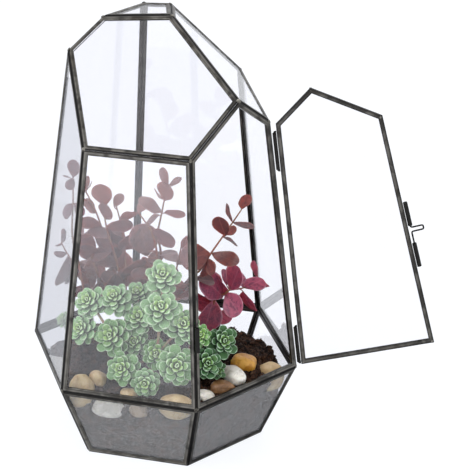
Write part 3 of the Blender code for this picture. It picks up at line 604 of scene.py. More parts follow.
class Growth:
    """The Geometry Nodes trees that make what repeats, and the way to run one on a mesh."""

    def __init__(self) -> None:
        """Build the trees once."""
        self.copies, self.tubes, self.litter = self.copies_tree(), self.tubes_tree(), self.litter_tree()

    @staticmethod
    def new_tree(name: str, **inputs: str) -> tuple[NodeTree, bpy.types.bpy_prop_collection]:
        """Start a tree that takes a mesh and named inputs and gives a mesh.

        Args:
            name: The tree's name.
            inputs: Each further input's type, by its name.

        Returns:
            The tree and the outputs of its Group Input node.
        """
        tree = bpy.data.node_groups.new(name, "GeometryNodeTree")
        for title, kind in {"Geometry": "Geometry", **inputs, "Material": "Material"}.items():
            tree.interface.new_socket(title, in_out="INPUT", socket_type=f"NodeSocket{kind}")
        tree.interface.new_socket("Geometry", in_out="OUTPUT", socket_type="NodeSocketGeometry")
        return tree, tree.nodes.new("NodeGroupInput").outputs

    @staticmethod
    def close_tree(tree: NodeTree, given: bpy.types.bpy_prop_collection, shape: NodeSocket) -> NodeTree:
        """End a tree in plain faces with its material.

        Args:
            tree: The tree.
            given: The outputs of its Group Input node.
            shape: The geometry to hand on.

        Returns:
            The tree.
        """
        plain = add_node(tree, "GeometryNodeRealizeInstances", {"Geometry": shape})
        smooth = add_node(tree, "GeometryNodeSetShadeSmooth", {0: plain})
        dressed = add_node(tree, "GeometryNodeSetMaterial", {
            "Geometry": smooth, "Material": given["Material"]})
        add_node(tree, "NodeGroupOutput", {"Geometry": dressed})
        return tree

    def copies_tree(self) -> NodeTree:
        """A tree that sets one of several pieces on each point, turned and sized by the point's attributes.

        Returns:
            The tree, with inputs for the pieces, the overall size, how far sizes vary and the seed.
        """
        tree, given = self.new_tree("copies_on_points", Pieces="Collection", Size="Float", Variation="Float",
                                    Seed="Int")
        turn, size, kind = (
            add_node(tree, "GeometryNodeInputNamedAttribute", {"Name": name}, out="Attribute", data_type=data)
            for name, data in (("turn", "FLOAT_VECTOR"), ("size", "FLOAT_VECTOR"), ("kind", "INT")))
        least, most = (add_node(tree, "ShaderNodeMath", {0: 1.0, 1: given["Variation"]}, operation=way)
                       for way in ("SUBTRACT", "ADD"))
        vary = add_node(tree, "FunctionNodeRandomValue", {"Min": least, "Max": most, "Seed": given["Seed"]},
                        out="Value", data_type="FLOAT")
        overall = add_node(tree, "ShaderNodeMath", {0: vary, 1: given["Size"]}, operation="MULTIPLY")
        scale = add_node(tree, "ShaderNodeVectorMath", {0: size, "Scale": overall}, operation="SCALE")
        pieces = add_node(tree, "GeometryNodeCollectionInfo", {
            "Collection": given["Pieces"], "Separate Children": True, "Reset Children": True})
        rotation = add_node(tree, "FunctionNodeEulerToRotation", {0: turn})
        return self.close_tree(tree, given, add_node(tree, "GeometryNodeInstanceOnPoints", {
            "Points": given["Geometry"], "Instance": pieces, "Pick Instance": True, "Instance Index": kind,
            "Rotation": rotation, "Scale": scale}))

    def tubes_tree(self) -> NodeTree:
        """A tree that turns strands of edges into round tubes as thick as their points say.

        Returns:
            The tree, with inputs for the number of sides and the thickness.
        """
        tree, given = self.new_tree("tubes_along_strands", Sides="Int", Thickness="Float")
        girth = add_node(tree, "GeometryNodeInputNamedAttribute", {"Name": "girth"}, out="Attribute",
                         data_type="FLOAT")
        radius = add_node(tree, "ShaderNodeMath", {0: girth, 1: given["Thickness"]}, operation="MULTIPLY")
        curve = add_node(tree, "GeometryNodeMeshToCurve", {"Mesh": given["Geometry"]})
        ring = add_node(tree, "GeometryNodeCurvePrimitiveCircle", {
            "Resolution": given["Sides"], "Radius": 1.0}, mode="RADIUS")
        return self.close_tree(tree, given, add_node(tree, "GeometryNodeCurveToMesh", {
            "Curve": curve, "Profile Curve": ring, "Scale": radius, "Fill Caps": True}))

    def litter_tree(self) -> NodeTree:
        """A tree that strews small pieces over a surface where its attribute "loose" allows.

        Returns:
            The tree, with inputs for the pieces, how many lie on a square metre, their sizes and the seed.
        """
        tree, given = self.new_tree("litter_on_surface", Pieces="Collection", Density="Float", Least="Float",
                                    Most="Float", Seed="Int")
        loose = add_node(tree, "GeometryNodeInputNamedAttribute", {"Name": "loose"}, out="Attribute",
                         data_type="FLOAT")
        crowd = add_node(tree, "ShaderNodeMath", {0: loose, 1: given["Density"]}, operation="MULTIPLY")
        points = add_node(tree, "GeometryNodeDistributePointsOnFaces", {
            "Mesh": given["Geometry"], "Density": crowd, "Seed": given["Seed"]}, out="Points",
            distribute_method="RANDOM")
        turn = add_node(tree, "FunctionNodeRandomValue", {
            "Max": (math.tau, math.tau, math.tau), "Seed": given["Seed"]}, out="Value",
            data_type="FLOAT_VECTOR")
        chance = add_node(tree, "FunctionNodeRandomValue", {"Seed": given["Seed"]}, out="Value",
                          data_type="FLOAT")
        rare = add_node(tree, "ShaderNodeMath", {0: chance, 1: 2.5}, operation="POWER")
        size = add_node(tree, "ShaderNodeMapRange", {
            "Value": rare, "To Min": given["Least"], "To Max": given["Most"]})
        pieces = add_node(tree, "GeometryNodeCollectionInfo", {
            "Collection": given["Pieces"], "Separate Children": True, "Reset Children": True})
        return self.close_tree(tree, given, add_node(tree, "GeometryNodeInstanceOnPoints", {
            "Points": points, "Instance": pieces, "Pick Instance": True, "Rotation": turn, "Scale": size}))

    @staticmethod
    def run(tree: NodeTree, start: Mesh, **inputs: object) -> Mesh:
        """Run a tree on a mesh and keep what it makes as a plain mesh.

        Args:
            tree: The tree.
            start: The points, strands or surface that it works on.
            inputs: What each of its named inputs holds.

        Returns:
            A new mesh with no modifier behind it.
        """
        carrier = bpy.data.objects.new(tree.name, start)
        bpy.context.scene.collection.objects.link(carrier)
        modifier = carrier.modifiers.new(tree.name, "NODES")
        modifier.node_group = tree
        for item in tree.interface.items_tree:
            if item.in_out == "INPUT" and item.name in inputs:
                modifier[item.identifier] = inputs[item.name]
        graph = bpy.context.evaluated_depsgraph_get()
        graph.update()
        mesh = bpy.data.meshes.new_from_object(
            carrier.evaluated_get(graph), preserve_all_data_layers=True, depsgraph=graph)
        carrier.modifiers.remove(modifier)
        bpy.data.objects.remove(carrier)
        return mesh

    @staticmethod
    def pieces(name: str, meshes: Sequence[Mesh]) -> Collection:
        """Gather pieces for a tree to copy.

        Args:
            name: The collection's name.
            meshes: The pieces, in the order of their kinds.

        Returns:
            The collection.
        """
        collection = bpy.data.collections.new(name)
        for k, mesh in enumerate(meshes):
            collection.objects.link(bpy.data.objects.new(f"{name}_{k}", mesh))
        return collection

    def plant(self, spots: list[Spot], pieces: Collection, material: Material, vary: float = 0.0,
              seed: int = 1) -> Mesh:
        """Set a copy of a piece on each spot.

        Args:
            spots: Where and how each copy stands.
            pieces: The pieces to copy.
            material: Their finish, which reads each copy's tint and heart.
            vary: How far their sizes vary, as a share.
            seed: Chooses their sizes.

        Returns:
            All the copies as one mesh.
        """
        mesh = bpy.data.meshes.new("spots")
        mesh.from_pydata([s.place.translation for s in spots], [], [])
        for name, kind, values in (
            ("turn", "FLOAT_VECTOR", [tuple(s.place.to_euler()) for s in spots]),
            ("size", "FLOAT_VECTOR", [tuple(s.place.to_scale()) for s in spots]),
            ("kind", "INT", [s.kind for s in spots]), ("tint", "FLOAT", [s.tint for s in spots]),
            ("heart", "FLOAT", [s.heart for s in spots]),
        ):
            self.note(mesh, name, kind, values)
        return self.run(self.copies, mesh, Pieces=pieces, Size=1.0, Variation=vary, Seed=seed,
                        Material=material)

    def stalks(self, paths: list[list[Vector]], girths: list[list[float]], material: Material) -> Mesh:
        """Make open strands round.

        Args:
            paths: The points of each strand.
            girths: The radius at each point, in metres.
            material: Their finish.

        Returns:
            The round strands as one mesh.
        """
        corners, edges = [], []
        for path in paths:
            start = len(corners)
            corners += path
            edges += [(start + k, start + k + 1) for k in range(len(path) - 1)]
        mesh = bpy.data.meshes.new("strands")
        mesh.from_pydata(corners, edges, [])
        self.note(mesh, "girth", "FLOAT", [g for row in girths for g in row])
        return self.run(self.tubes, mesh, Sides=12, Thickness=1.0, Material=material)

    @staticmethod
    def note(mesh: Mesh, name: str, kind: str, values: list) -> None:
        """Write an attribute on a mesh's points.

        Args:
            mesh: The mesh.
            name: The attribute's name.
            kind: Its type.
            values: Its value at each point.
        """
        attribute = mesh.attributes.new(name, kind, "POINT")
        for item, value in zip(attribute.data, values):
            setattr(item, "vector" if kind == "FLOAT_VECTOR" else "value", value)


def add_piece(name: str, mesh: Mesh, material: Material | None = None, body: str = "root",
              nodes: tuple[str, ...] = ()) -> Object:
    """Put a finished mesh in the scene as a piece of the part.

    Args:
        name: The piece's name.
        mesh: Its mesh, already in place.
        material: Its finish, where the mesh doesn't hold it yet.
        body: The body that it rides on.
        nodes: The nodes that it stands for.

    Returns:
        The piece's object.
    """
    mesh.name = name
    if material:
        mesh.materials.clear()
        mesh.materials.append(material)
    piece = bpy.data.objects.new(name, mesh)
    bpy.context.scene.collection.objects.link(piece)
    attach(piece, body)
    if nodes:
        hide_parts(*nodes)
    mesh.calc_loop_triangles()
    LOG.info("%s on %s: %d triangles", name, body, len(mesh.loop_triangles))
    return piece


def loft(bm: bmesh.types.BMesh, rings: list[list[bmesh.types.BMVert]], closed: bool = False) -> None:
    """Join rings of points with faces.

    Args:
        bm: Where the faces go.
        rings: The rings, each with as many points as the others.
        closed: Whether the last is also joined to the first.
    """
    for low, high in zip(rings, rings[1:] + rings[:1] if closed else rings[1:]):
        for k in range(len(low)):
            after = (k + 1) % len(low)
            bm.faces.new((low[k], low[after], high[after], high[k]))


def to_mesh(bm: bmesh.types.BMesh, name: str) -> Mesh:
    """Make a mesh of a closed form, with its faces pointing out.

    Args:
        bm: The form, which is freed.
        name: The mesh's name.

    Returns:
        The mesh.
    """
    bmesh.ops.recalc_face_normals(bm, faces=bm.faces)
    mesh = bpy.data.meshes.new(name)
    bm.to_mesh(mesh)
    bm.free()
    return mesh


def blob(name: str, detail: int, shape: Callable[[Vector], Vector], radius: float = 1.0) -> Mesh:
    """Make a closed form from a ball.

    Args:
        name: The mesh's name.
        detail: How finely the ball is divided.
        shape: Where each of its points goes.
        radius: The ball's radius.

    Returns:
        The mesh.
    """
    bm = bmesh.new()
    bmesh.ops.create_icosphere(bm, subdivisions=detail, radius=radius)
    for vert in bm.verts:
        vert.co = shape(vert.co)
    return to_mesh(bm, name)


class Plane(NamedTuple):
    """All points p with normal . p equal to offset."""

    normal: Vector
    offset: float


def heading_vector(degrees: float, z: float = 0.0) -> Vector:
    """A level unit vector at a heading, raised by z."""
    angle = math.radians(degrees)
    return Vector((math.cos(angle), math.sin(angle), z))


def meet(*planes: Plane) -> Vector:
    """The point where three planes cross."""
    return Matrix([p.normal for p in planes]).inverted() @ Vector([p.offset for p in planes])


def in_order(corners: list[Vector], centre: Vector, normal: Vector) -> list[Vector]:
    """Corners of a flat face, sorted round its centre.

    Args:
        corners: The corners.
        centre: A point among them.
        normal: The way that the face looks.

    Returns:
        The corners in order.
    """
    x = (corners[0] - centre).normalized()
    y = normal.cross(x)
    return sorted(corners, key=lambda c: math.atan2(y.dot(c - centre), x.dot(c - centre)))


def frame_on(origin: Vector, x: Vector, y: Vector, z: Vector) -> Matrix:
    """A matrix with the given origin and unit axes."""
    return Matrix.Translation(origin) @ Matrix((x, y, z)).transposed().to_4x4()


@dataclass
class Outline:
    """A flat face with its corners in order, and how far the next face bends away across each edge."""

    normal: Vector
    corners: list[Vector]
    turns: list[float]

    def __post_init__(self) -> None:
        """Work out which way each edge looks into the face."""
        after = self.corners[1:] + self.corners[:1]
        self.inward = [self.normal.cross(b - a).normalized() for a, b in zip(self.corners, after)]
        self.lengths = [(b - a).length for a, b in zip(self.corners, after)]

    def loop(self, insets: list[float], depth: float) -> list[Vector]:
        """The outline with each edge moved inwards, at a depth under the face.

        Args:
            insets: How far each edge moves.
            depth: How far under the face.

        Returns:
            Its corners in order.
        """
        face = Plane(self.normal, self.normal.dot(self.corners[0]) - depth)
        edges = [Plane(n, n.dot(c) + inset) for n, c, inset in zip(self.inward, self.corners, insets)]
        return [meet(face, edges[k - 1], edges[k]) for k in range(len(edges))]

    def mitre(self, depth: float, extra: float) -> list[float]:
        """The inset of each edge on its mitre with the next face, at a depth, plus an extra."""
        return [depth * math.tan(t / 2) + GAP / 2 / math.cos(t / 2) * (t > 0) + extra for t in self.turns]


class CaseShape:
    """The outer faces of the case as planes, worked out from its driving sizes."""

    def __init__(self) -> None:
        """Work out the floor, the six base faces, the six walls and the three roofs."""
        wall_lean = math.atan2(RING_RADIUS * math.cos(math.pi / 6), WALL_APEX)
        base_lean = math.atan2((RING_RADIUS - BASE_RADIUS) * math.cos(math.pi / 6), BASE_DEPTH)
        self.ring = [heading_vector(FIRST_CORNER + 60 * k) * RING_RADIUS + Vector((0, 0, BASE_DEPTH))
                     for k in range(6)]
        self.base = [heading_vector(FIRST_CORNER + 60 * k) * BASE_RADIUS for k in range(6)]
        self.walls, self.flares = [], []
        for k in range(6):
            out = heading_vector(FIRST_CORNER + 30 + 60 * k)
            for faces, lean in ((self.walls, wall_lean), (self.flares, -base_lean)):
                normal = out * math.cos(lean) + Vector((0, 0, math.sin(lean)))
                faces.append(Plane(normal, normal.dot(self.ring[k])))
        self.roofs = {}
        for name, (height, slope, heading) in ROOFS.items():
            fall = heading_vector(heading) * math.tan(math.radians(slope))
            normal = (Vector((0, 0, 1)) - fall).normalized()
            self.roofs[name] = Plane(normal, normal.z * height * MM)
        self.floor = Plane(Vector((0, 0, -1)), 0.0)
        self.faces = [*self.walls, *self.flares, *self.roofs.values(), self.floor]

    def room(self, point: Vector, depth: float) -> float:
        """How far a point lies inside every face, at a depth under the outer faces."""
        return min(face.offset - depth - face.normal.dot(point) for face in self.faces)

    def keep_in(self, point: Vector, depth: float) -> Vector:
        """The point, pushed inside every face where it is not.

        Args:
            point: The point.
            depth: How far under the outer faces it has to lie.

        Returns:
            The point's new place.
        """
        for face in self.faces:
            over = face.normal.dot(point) - (face.offset - depth)
            if over > 0:
                point = point - face.normal * over
        return point

    def outlines(self) -> dict[str, Outline]:
        """Every face of the case as an outline, by the names of its panes.

        Returns:
            The outlines.
        """
        names = [f"{part}_{side}" for part in ("wall", "base") for side in SIDES]
        names += [f"roof_{name}" for name in self.roofs]
        return {name: self.outline(face) for name, face in zip(names, self.faces)}

    def outline(self, face: Plane) -> Outline:
        """Cut one face by all the others.

        Args:
            face: One of the case's faces.

        Returns:
            Its corners in order, and the bend across each edge.
        """
        others = [f for f in self.faces if f is not face]
        corners: list[Vector] = []
        for a, b in combinations(others, 2):
            if abs(face.normal.cross(a.normal).dot(b.normal)) < 1e-6:
                continue
            point = meet(face, a, b)
            if (all(f.normal.dot(point) < f.offset + 0.01 * MM for f in others)
                    and all((point - c).length > 0.1 * MM for c in corners)):
                corners.append(point)
        corners = in_order(corners, sum(corners, Vector()) / len(corners), face.normal)
        turns = []
        for ends in zip(corners, corners[1:] + corners[:1]):
            beside = min(others, key=lambda f: sum(abs(f.normal.dot(end) - f.offset) for end in ends))
            turns.append(face.normal.angle(beside.normal))
        return Outline(face.normal, corners, turns)

    def corners(self) -> list[tuple[Vector, Vector]]:
        """Every corner of the case that shows above the floor, with the way out of it.

        Returns:
            Each corner's place and the mean direction of the faces that meet there.
        """
        front, right, top = (self.roofs[n] for n in ("front", "right", "top"))
        walls = self.walls
        groups = [(walls[k - 1], walls[k], self.flares[k - 1], self.flares[k]) for k in range(6)]
        groups += [(self.flares[k - 1], self.flares[k], self.floor) for k in range(6)]
        groups += [(front, walls[0], walls[5]), (front, walls[0], walls[1]), (front, right, walls[1]),
                   (right, walls[1], walls[2]), (right, walls[2], walls[3]), (top, walls[3], walls[4]),
                   (front, walls[4], walls[5]), (front, top, walls[4]), (front, top, right),
                   (right, top, walls[3])]
        found = []
        for group in groups:
            place = meet(*group[-3:])
            found.append((place, sum((g.normal for g in group), Vector()).normalized()))
        return found


CASE = CaseShape()


class SolderWork:
    """Beads of solder where the channels meet."""

    bead = (2.0 * MM, 2.0 * MM, 0.75 * MM)
    foot_bead = (1.5 * MM, 1.5 * MM, 1.1 * MM)
    door_bead = (1.9 * MM, 1.5 * MM, 0.55 * MM)
    sunk = 1.35 * MM
    vary = 0.12  # how far the beads' sizes differ, as a share

    def __init__(self, growth: Growth, solder: Material) -> None:
        """Keep the trees and the finish, and make the drops."""
        self.growth, self.solder = growth, solder
        self.drops = growth.pieces("solder_drop", [self.drop(s) for s in (3.1, 7.7, 12.3)])

    def drop(self, seed: float) -> Mesh:
        """A blob that froze with a soft ripple, one unit in radius.

        Args:
            seed: Chooses its ripples.

        Returns:
            The blob's mesh.
        """
        def froze(point: Vector) -> Vector:
            """Where a point of the ball goes.

            Args:
                point: The point.

            Returns:
                Its new place.
            """
            ripple = noise.noise(point * 1.4 + Vector((seed, 0, 0)))
            fine = noise.noise(point * 4.0 + Vector((0, seed, 0)))
            return point * (1 + 0.16 * ripple + 0.04 * fine)

        return blob("drop", 4, froze)

    def place(self, spot: Vector, out: Vector, size: Point, spin: float) -> Matrix:
        """Stand a drop at a spot, flat against the way out."""
        turn = out.to_track_quat("Z", "X").to_matrix().to_4x4()
        return Matrix.Translation(spot) @ turn @ Matrix.Rotation(spin, 4, "Z") @ Matrix.Diagonal((*size, 1))

    @staticmethod
    def outline(node: str) -> tuple[list[Vector], Vector]:
        """Corners of a flat pane in order, and its normal.

        Args:
            node: The pane's node.

        Returns:
            The corners at the middle of the pane's thickness, and its unit normal.
        """
        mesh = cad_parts[node].data
        widest = max(mesh.polygons, key=lambda p: p.area)
        normal = widest.normal.copy()
        centre = sum((v.co for v in mesh.vertices), Vector()) / len(mesh.vertices)
        corners: list[Vector] = []
        for vert in mesh.vertices:
            flat = vert.co - normal * normal.dot(vert.co - centre)
            if all((flat - c).length > 1 * MM for c in corners):
                corners.append(flat)
        return in_order(corners, centre, normal), normal

    def case_beads(self) -> list[Spot]:
        """Spots for the corners of the case. Those at the foot stay above the floor.

        Returns:
            The spots.
        """
        draw = random.Random(11)
        spots = []
        for place, out in CASE.corners():
            size = self.bead
            if place.z < 1 * MM:
                out = Vector((out.x, out.y, 0)).normalized()
                place, size = place + Vector((0, 0, self.foot_bead[0] * 1.3)), self.foot_bead
            spots.append(Spot(self.place(place - out * self.sunk, out, size, draw.uniform(0, 6)),
                              draw.randrange(3)))
        return spots

    def door_beads(self) -> list[Spot]:
        """Spots for small beads on the mitres of the door's channel.

        Returns:
            The spots.
        """
        draw = random.Random(12)
        corners, normal = self.outline("door_glass")
        centre = sum(corners, Vector()) / len(corners)
        spots = []
        for k, corner in enumerate(corners):
            before, after = corners[k - 1], corners[(k + 1) % len(corners)]
            away = -((before - corner).normalized() + (after - corner).normalized()).normalized()
            if away.dot(corner - centre) < 0:
                away.negate()
            for face in (1, -1):
                spot = corner - away * 1.2 * MM + normal * face * 1.25 * MM
                spots.append(Spot(self.place(spot, normal * face, self.door_bead, draw.uniform(0, 6)),
                                  draw.randrange(3)))
        return spots

    def build(self) -> None:
        """Make the beads of the case and of the door, each on its own body."""
        for name, body, spots in (("case", "root", self.case_beads()), ("door", "door", self.door_beads())):
            beads = self.growth.plant(spots, self.drops, self.solder, self.vary, seed=5)
            add_piece(f"{name}_solder", beads, body=body)


class Station(NamedTuple):
    """A point of a came's section in mm: its depth under the face, its inset, and how rubbed it is, which on
    the crown and rim is partly a painted highlight.
    """

    depth: float
    inset: float
    rub: float
    from_mitre: bool  # whether the inset counts from the mitre with the next came, or from the edge


@dataclass
class Cames:
    """The rolled cames: a lip on each face of the glass, crowned and rubbed, with a soft shoulder.

    Two cames meet on their mitre, and their shoulders leave a dark groove between them. The lighter rubbed
    lines on each crown and rim are partly wear and partly a painted highlight.
    """

    came: Material
    step: float = 8 * MM  # between the points along an edge
    wobble: float = 0.07 * MM  # of hand-drawn metal
    wave: float = 16 * MM
    crease: float = 38  # degrees between faces that meet in a sharp edge
    # The rub values that peak on the crown and near the rim paint lines that are partly wear, partly
    # highlight
    outer: tuple[Station, ...] = (
        Station(1.8, 0.0, 0.0, True), Station(1.25, 0.0, 0.0, True), Station(0.86, 0.14, 0.0, True),
        Station(0.56, 0.5, 0.0, True), Station(0.3, 1.0, 0.0, True), Station(0.12, 1.5, 0.1, True),
        Station(0.01, 1.85, 0.8, True), Station(0.0, 2.3, 1.0, True), Station(0.0, 3.2, 0.6, False),
        Station(0.05, 3.7, 0.45, False), Station(0.18, 4.2, 0.4, False), Station(0.36, 4.7, 0.85, False),
        Station(0.6, 5.0, 0.2, False),
    )
    slot: tuple[Station, ...] = (Station(0.7, 4.92, 0.0, False), Station(2.9, 4.92, 0.0, False))
    inner: tuple[Station, ...] = (
        Station(3.0, 5.0, 0.2, False), Station(3.3, 4.8, 0.4, False), Station(3.55, 4.3, 0.2, False),
        Station(3.6, 3.0, 0.7, False), Station(3.58, 0.6, 0.15, True), Station(3.4, 0.1, 0.0, True),
        Station(3.0, 0.0, 0.0, True),
    )
    web: float = 0.65 * MM  # from the mitre to the foot of the slot, at the depth of the inner lip
    door_width: float = 0.84  # of the door's lighter came, as a share of the width of the others

    def rows(self, outline: Outline, glazed: bool, width: float) -> list[tuple[list[Vector], float]]:
        """The came's corners at each point of its section.

        Args:
            outline: The face that the came goes round.
            glazed: Whether it has a slot for glass.
            width: Its width as a share of a full one.

        Returns:
            The corners of each row, and how rubbed it is.
        """
        stations = list(self.outer)
        if glazed:
            stations += [self.slot[0], None, None, self.slot[1]]
        stations += self.inner
        rows = []
        for k, station in enumerate(stations):
            if station is None:
                depth = (self.slot[0] if stations[k - 1] else self.slot[1]).depth * MM
                rows.append((outline.loop(outline.mitre(CHANNEL_DEPTH - 0.5 * MM, self.web), depth), 0.0))
                continue
            depth, inset = station.depth * MM, station.inset * MM
            edges = len(outline.corners)
            insets = outline.mitre(depth, inset) if station.from_mitre else [inset * width] * edges
            rows.append((outline.loop(insets, depth), station.rub))
        return rows

    def mesh(self, outline: Outline, glazed: bool = True, width: float = 1.0) -> Mesh:
        """Draw the section round the outline, with sharp mitres at its corners.

        Args:
            outline: The face that the came goes round.
            glazed: Whether it has a slot for glass.
            width: Its width as a share of a full one.

        Returns:
            A closed mesh whose rub attribute says where the cloth thinned the patina; its lighter lines on
            the crown and rim are partly a painted highlight.
        """
        bm = bmesh.new()
        rub_and_highlight_layer = bm.verts.layers.float.new("rub")
        counts = [max(2, round(length / self.step)) for length in outline.lengths]
        grid = []
        for corners, rub in self.rows(outline, glazed, width):
            line = []
            for a, b, count in zip(corners, corners[1:] + corners[:1], counts):
                for k in range(count):
                    point = a.lerp(b, k / count)
                    vert = bm.verts.new(point + noise.noise_vector(point / self.wave) * self.wobble)
                    vert[rub_and_highlight_layer] = rub
                    line.append(vert)
            grid.append(line)
        loft(bm, grid, closed=True)
        mesh = to_mesh(bm, "came")
        mesh.shade_smooth()
        mesh.set_sharp_from_angle(angle=math.radians(self.crease))
        return mesh

    def build(self) -> None:
        """Make a came for every pane of the case, the frame of the doorway, and the door's came."""
        for name, outline in CASE.outlines().items():
            if name == "wall_doorway":
                add_piece("doorway_jamb", self.mesh(outline, glazed=False), self.came,
                          nodes=("doorway_frame",))
            else:
                add_piece(f"{name}_came", self.mesh(outline), self.came, nodes=(f"{name}_channel",))
        corners, normal = SolderWork.outline("door_glass")
        pane = Outline(normal, corners, [0.0] * len(corners))
        leaf = Outline(normal, pane.loop([-GLASS_EDGE] * len(corners), -CHANNEL_DEPTH / 2), pane.turns)
        add_piece("door_came", self.mesh(leaf, width=self.door_width), self.came, body="door",
                  nodes=("door_channel",))


class CaseDress:
    """Finishes for the solids that keep their shape: panes, hinges and latch."""

    dusty = ("base_front_glass", "base_doorway_glass", "base_left_glass")

    def __init__(self, came: Material, glass: Material,
                 base_glass: Material) -> None:
        """Keep the finishes."""
        self.came, self.glass, self.base_glass = came, glass, base_glass

    def build(self) -> None:
        """Give every metal node the patina and every pane its glass."""
        for name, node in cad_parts.items():
            if name.endswith("_glass"):
                material = self.base_glass if name in self.dusty else self.glass
            elif name.endswith(("_channel", "_frame", "_bolt")) or "_tube" in name or "_pin_" in name:
                material = self.came
            else:
                continue
            for slot in node.material_slots:
                slot.material = material
            LOG.info("%s is %s", name, material.name)


@dataclass
class PeatHeap:
    """The peat: a heap against the glass, level in front, that falls away behind and at two corners."""

    growth: Growth
    peat: Material
    fibre: Material
    top: float = 80.8 * MM
    centre: Flat = (10 * MM, -59 * MM)
    level_reach: float = 92 * MM
    fall: float = 0.5
    bend: float = 8 * MM
    front_line: float = -30 * MM
    front_fall: float = 0.3
    headings: int = 320
    rings: int = 74
    courses: int = 56  # rows of points down the sides
    clear: float = 0.5 * MM  # between the peat and the panes
    clods: tuple[Flat, ...] = ((13.0, 3.4), (5.6, 3.2), (2.6, 2.0))  # size and height, mm
    beside_pane: tuple[str, ...] = ("tan_left", "white_front", "small", "grey", "tan_front", "tan_corner")
    hollow: float = 1.15  # width of the hollow round such a pebble, in pebbles
    bed: float = 5 * MM  # how far under the pebble's solid the hollow starts

    def __post_init__(self) -> None:
        """Read where the pebbles beside the panes lie."""
        stones = [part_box(f"pebble_{pebble.name}") for pebble in Pebbles.stones]
        self.stones = [((low + high) / 2, high - low) for low, high in stones]
        boxes = [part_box(f"pebble_{name}") for name in self.beside_pane]
        self.hollows = [((low + high) / 2, (high.x - low.x) / 2 * self.hollow, low.z) for low, high in boxes]

    def height(self, x: float, y: float) -> float:
        """The top of the peat at a place, before its crumbs.

        Args:
            x: The place, in metres.
            y: The same.

        Returns:
            The height in metres.
        """
        away = (math.hypot(x - self.centre[0], y - self.centre[1]) - self.level_reach) / self.bend
        height = self.top - self.fall * self.bend * math.log1p(math.exp(away))
        height -= self.front_fall * max(0.0, self.front_line - y)
        for corner, depth, width in (((118, -5), 24, 24), ((-116, -8), 12, 22)):
            apart = math.hypot(x / MM - corner[0], y / MM - corner[1]) / width
            height -= depth * MM * math.exp(-apart * apart)
        return height

    def reach(self, heading: float, height: float) -> float:
        """How far the peat spreads from the axis at a heading and a height.

        Args:
            heading: In degrees.
            height: In metres.

        Returns:
            The distance in metres.
        """
        depth = PANE_FACE + self.clear
        level, direction = Vector((0, 0, height)), heading_vector(heading)
        return min((face.offset - depth - face.normal.dot(level)) / face.normal.dot(direction)
                   for face in CASE.walls + CASE.flares if face.normal.dot(direction) > 0.05)

    def stand_back(self, heading: float, height: float, reach: float) -> float:
        """Draw the peat back from the pane where a pebble lies against it.

        Args:
            heading: Of the point of the peat's side, in degrees.
            height: Of the point.
            reach: How far the peat would spread without the pebble.

        Returns:
            How far it spreads behind the pebble's front.
        """
        direction = heading_vector(heading)
        for middle, wide, bottom in self.hollows:
            outward = direction.dot(Vector((middle.x, middle.y, 0)))
            aside = (Vector((middle.x, middle.y, 0)) - direction * outward).length
            if outward < 0 or aside > wide:
                continue
            round_off = math.sqrt(1 - (aside / wide) ** 2)
            rise = held((height - bottom + self.bed) / self.bed)
            reach = min(reach, reach + (outward + 1 * MM - reach) * min(1.0, 1.6 * round_off) * rise)
        return reach

    def calm(self, point: Vector) -> float:
        """Nought under a pebble and one away from it, for crumbs and hollows.

        Args:
            point: A point of the peat.

        Returns:
            The share.
        """
        apart = min(math.hypot((point.x - middle.x) / size.x, (point.y - middle.y) / size.y) * 2
                    for middle, size in self.stones)
        return held((apart - 0.95) / 0.25)

    def rough(self, point: Vector) -> Vector:
        """How crumbs and hollows move a point of the surface.

        Args:
            point: The point.

        Returns:
            How far it moves, and which way.
        """
        moved = Vector()
        for size, height in self.clods:
            moved += noise.noise_vector(point / (size * MM)) * height * MM
        return moved

    def settle(self, point: Vector) -> Vector:
        """Keep a point of the surface behind the panes, and behind the channels where they hide it.

        Args:
            point: The point.

        Returns:
            Its new place.
        """
        nearest = sorted(face.offset - face.normal.dot(point) for face in CASE.faces)
        framed = 1 - held((nearest[1] - CHANNEL_WIDTH) / (3 * MM))
        depth = PANE_FACE + self.clear + (CHANNEL_DEPTH - PANE_FACE) * framed
        return CASE.keep_in(point, depth)

    def surface(self) -> Mesh:
        """The heap as rings of points: floor, sides up to the rim, and the top to its middle.

        Returns:
            A closed mesh whose attribute "loose" is one where crumbs may lie.
        """
        rows: list[list[Vector]] = [[] for _ in range(self.courses + self.rings)]
        for k in range(self.headings):
            heading = 360 * k / self.headings
            direction = heading_vector(heading)
            rim = self.reach(heading, BASE_DEPTH)
            top = self.height(direction.x * rim, direction.y * rim)
            rim = self.stand_back(heading, top, self.reach(heading, top))
            for i in range(self.courses):
                z = BASE_FLOOR + (top - BASE_FLOOR) * i / self.courses
                spread = self.stand_back(heading, z, self.reach(heading, z))
                rows[i].append(direction * spread + Vector((0, 0, z)))
            for i in range(self.rings):
                share = math.sin(math.pi / 2 * (1 - i / self.rings))
                x, y = direction.x * rim * share, direction.y * rim * share
                rows[self.courses + i].append(Vector((x, y, self.height(x, y))))
        bm = bmesh.new()
        loose = bm.verts.layers.float.new("loose")
        grid = []
        for i, row in enumerate(rows):
            line = []
            for point in row:
                calm = self.calm(point)
                amount = 0.55 if i < self.courses else 0.25 + 0.75 * calm
                vert = bm.verts.new(self.settle(point + self.rough(point) * amount * (i > 0)))
                inside = CASE.room(vert.co, PANE_FACE + 3.2 * MM) > 0
                vert[loose] = float(i >= self.courses and inside) * calm
                line.append(vert)
            grid.append(line)
        loft(bm, grid)
        bm.faces.new(list(reversed(grid[0])))
        middle = bm.verts.new(Vector((0, 0, self.height(0, 0))))
        middle[loose] = 1.0
        for k in range(self.headings):
            bm.faces.new((grid[-1][k], grid[-1][(k + 1) % self.headings], middle))
        return to_mesh(bm, "peat")

